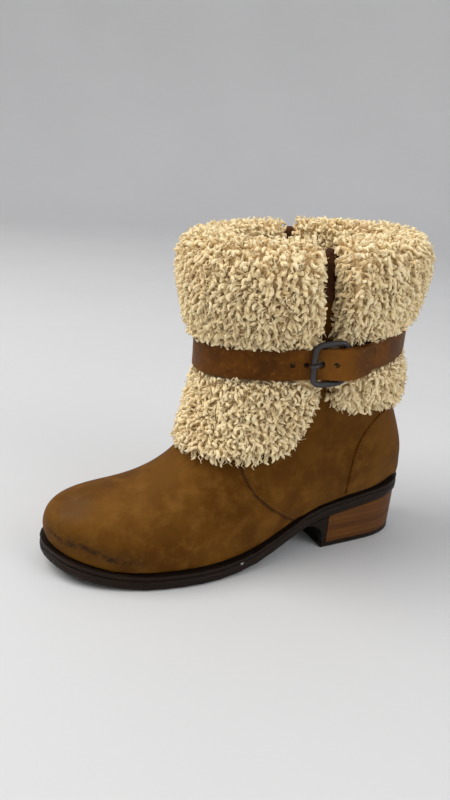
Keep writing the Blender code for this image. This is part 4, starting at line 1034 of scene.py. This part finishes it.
class BOOT_OT_stitches(bpy.types.Operator):
    """Sew the vamp seam and the counter's front edges"""
    bl_idname = "boot.stitches"
    bl_label = "Stitching"

    def execute(self, context):
        of = context.scene.boot_stitches
        sewn = (known("waxed thread", thread), of.pitch, of.length, of.radius)
        edge = (known("cut edge", cut_edge), of.pitch * 0.3, of.pitch * 0.62, of.radius * 1.15)
        skin = tree_of(bpy.data.objects["leather_upper"].data)
        stitch_row("vamp_edge", in_metres(VAMP_SEAM), 0.0, skin, *edge)
        stitch_row("vamp_stitches", in_metres(VAMP_SEAM), 0.0019, skin, *sewn)
        panel = tree_of(bpy.data.objects["counter_panel"].data)
        for label, side in (("lateral", -1.0), ("medial", 1.0)):
            path = counter_front_edge(side)
            path[:, 0] += 0.0022
            stitch_row("counter_stitches_" + label, path, 0.0, panel, *sewn)
        return {"FINISHED"}


def soft_light(name, place, target, size, power, colour):
    lamp = bpy.data.lights.new(name, "AREA")
    lamp.shape = "DISK"
    lamp.size = size
    lamp.energy = power
    lamp.color = colour
    light = bpy.data.objects.new(name, lamp)
    light.location = place
    light.rotation_euler = (Vector(target) - Vector(place)).to_track_quat("-Z", "Y").to_euler()
    bpy.context.scene.collection.objects.link(light)
    return light


CAMERA_PLACE = (-0.21131, -0.41052, 0.27060)
CAMERA_YAW, CAMERA_PITCH, CAMERA_ROLL = 25.62, 19.20, 4.35


def studio_camera(lens):
    """The camera at the photograph's place and angle."""
    yaw, pitch, roll = (math.radians(a) for a in (CAMERA_YAW, CAMERA_PITCH, CAMERA_ROLL))
    ahead = Vector((math.sin(yaw) * math.cos(pitch), math.cos(yaw) * math.cos(pitch), -math.sin(pitch)))
    level = Vector((math.cos(yaw), -math.sin(yaw), 0.0))
    above = level.cross(ahead)
    right = level * math.cos(roll) + above * math.sin(roll)
    top = -level * math.sin(roll) + above * math.cos(roll)
    data = bpy.data.cameras.new("camera")
    data.lens = lens
    data.sensor_width = 36.0
    data.sensor_fit = "AUTO"
    camera = bpy.data.objects.new("camera", data)
    camera.matrix_world = Matrix.Translation(CAMERA_PLACE) @ Matrix((right, top, -ahead)).transposed().to_4x4()
    bpy.context.scene.collection.objects.link(camera)
    bpy.context.scene.camera = camera


class BOOT_OT_stage(bpy.types.Operator):
    """Set the pale floor, the soft lights and the camera"""
    bl_idname = "boot.stage"
    bl_label = "Studio stage"

    def execute(self, context):
        tone = context.scene.boot_stage
        bm = bmesh.new()
        foot = 0.8
        corners = [(0.0, 0.0), (tone.reach, 0.0)]
        corners += [(tone.reach + foot * math.sin(a), foot * (1 - math.cos(a))) for a in np.radians([15, 30, 45, 60, 75, 90])]
        corners.append((tone.reach + foot, 3.2))
        line = [bm.verts.new((x, 0.0, z)) for x, z in corners]
        edges = [bm.edges.new(pair) for pair in zip(line[:-1], line[1:])]
        bmesh.ops.spin(bm, geom=line + edges, cent=(0, 0, 0), axis=(0, 0, 1), angle=2 * math.pi, steps=64,
                       use_merge=True, use_duplicate=False)
        bmesh.ops.remove_doubles(bm, verts=bm.verts[:], dist=1e-4)
        bmesh.ops.recalc_face_normals(bm, faces=bm.faces[:])
        mesh = bpy.data.meshes.new("studio_floor")
        bm.to_mesh(mesh)
        bm.free()
        mesh.materials.append(known("studio floor", floor_finish))
        mesh.shade_smooth()
        floor = bpy.data.objects.new("studio_floor", mesh)
        context.scene.collection.objects.link(floor)
        soft_light("key", (-1.1, 0.35, 1.7), (0, 0, 0.08), 1.5, tone.key, (1.0, 0.985, 0.96))
        soft_light("fill", (0.9, -1.5, 1.1), (0, 0, 0.08), 1.3, tone.fill, (0.95, 0.975, 1.0))
        world = bpy.data.worlds.new("studio")
        world.use_nodes = True
        world.node_tree.nodes["Background"].inputs[0].default_value = (0.93, 0.95, 1.0, 1.0)
        world.node_tree.nodes["Background"].inputs[1].default_value = tone.sky
        context.scene.world = world
        context.scene.view_settings.view_transform = "Standard"
        studio_camera(tone.lens)
        return {"FINISHED"}


OPERATORS = (
    BOOT_OT_stage, BOOT_OT_upper, BOOT_OT_counter, BOOT_OT_facings, BOOT_OT_pelt, BOOT_OT_wool, BOOT_OT_insole,
    BOOT_OT_strap, BOOT_OT_buckle, BOOT_OT_sole, BOOT_OT_stitches,
)
SETTINGS = (
    ("boot_leather", LeatherSettings), ("boot_wool", WoolSettings), ("boot_sole", SoleSettings),
    ("boot_stitches", StitchSettings), ("boot_stage", StageSettings),
)


class BOOT_PT_panel(bpy.types.Panel):
    """The boot's settings and the buttons that make its pieces"""
    bl_idname = "BOOT_PT_panel"
    bl_label = "Sheepskin boot"
    bl_space_type = "VIEW_3D"
    bl_region_type = "UI"
    bl_category = "Boot"

    def draw(self, context):
        for operator in OPERATORS:
            self.layout.operator(operator.bl_idname)
        for name, settings in SETTINGS:
            box = self.layout.box()
            for key in settings.__annotations__:
                box.prop(getattr(context.scene, name), key)


def register():
    for _, settings in SETTINGS:
        bpy.utils.register_class(settings)
    for name, settings in SETTINGS:
        setattr(bpy.types.Scene, name, bpy.props.PointerProperty(type=settings))
    for operator in OPERATORS:
        bpy.utils.register_class(operator)
    bpy.utils.register_class(BOOT_PT_panel)


def unregister():
    bpy.utils.unregister_class(BOOT_PT_panel)
    for operator in reversed(OPERATORS):
        bpy.utils.unregister_class(operator)
    for name, settings in reversed(SETTINGS):
        delattr(bpy.types.Scene, name)
        bpy.utils.unregister_class(settings)


def main():
    register()
    bpy.ops.boot.stage()
    bpy.ops.boot.upper()
    bpy.ops.boot.counter()
    bpy.ops.boot.facings()
    bpy.ops.boot.pelt()
    bpy.ops.boot.wool()
    bpy.ops.boot.insole()
    bpy.ops.boot.strap()
    bpy.ops.boot.buckle()
    bpy.ops.boot.sole()
    bpy.ops.boot.stitches()
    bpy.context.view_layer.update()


if __name__ == "__main__":
    main()
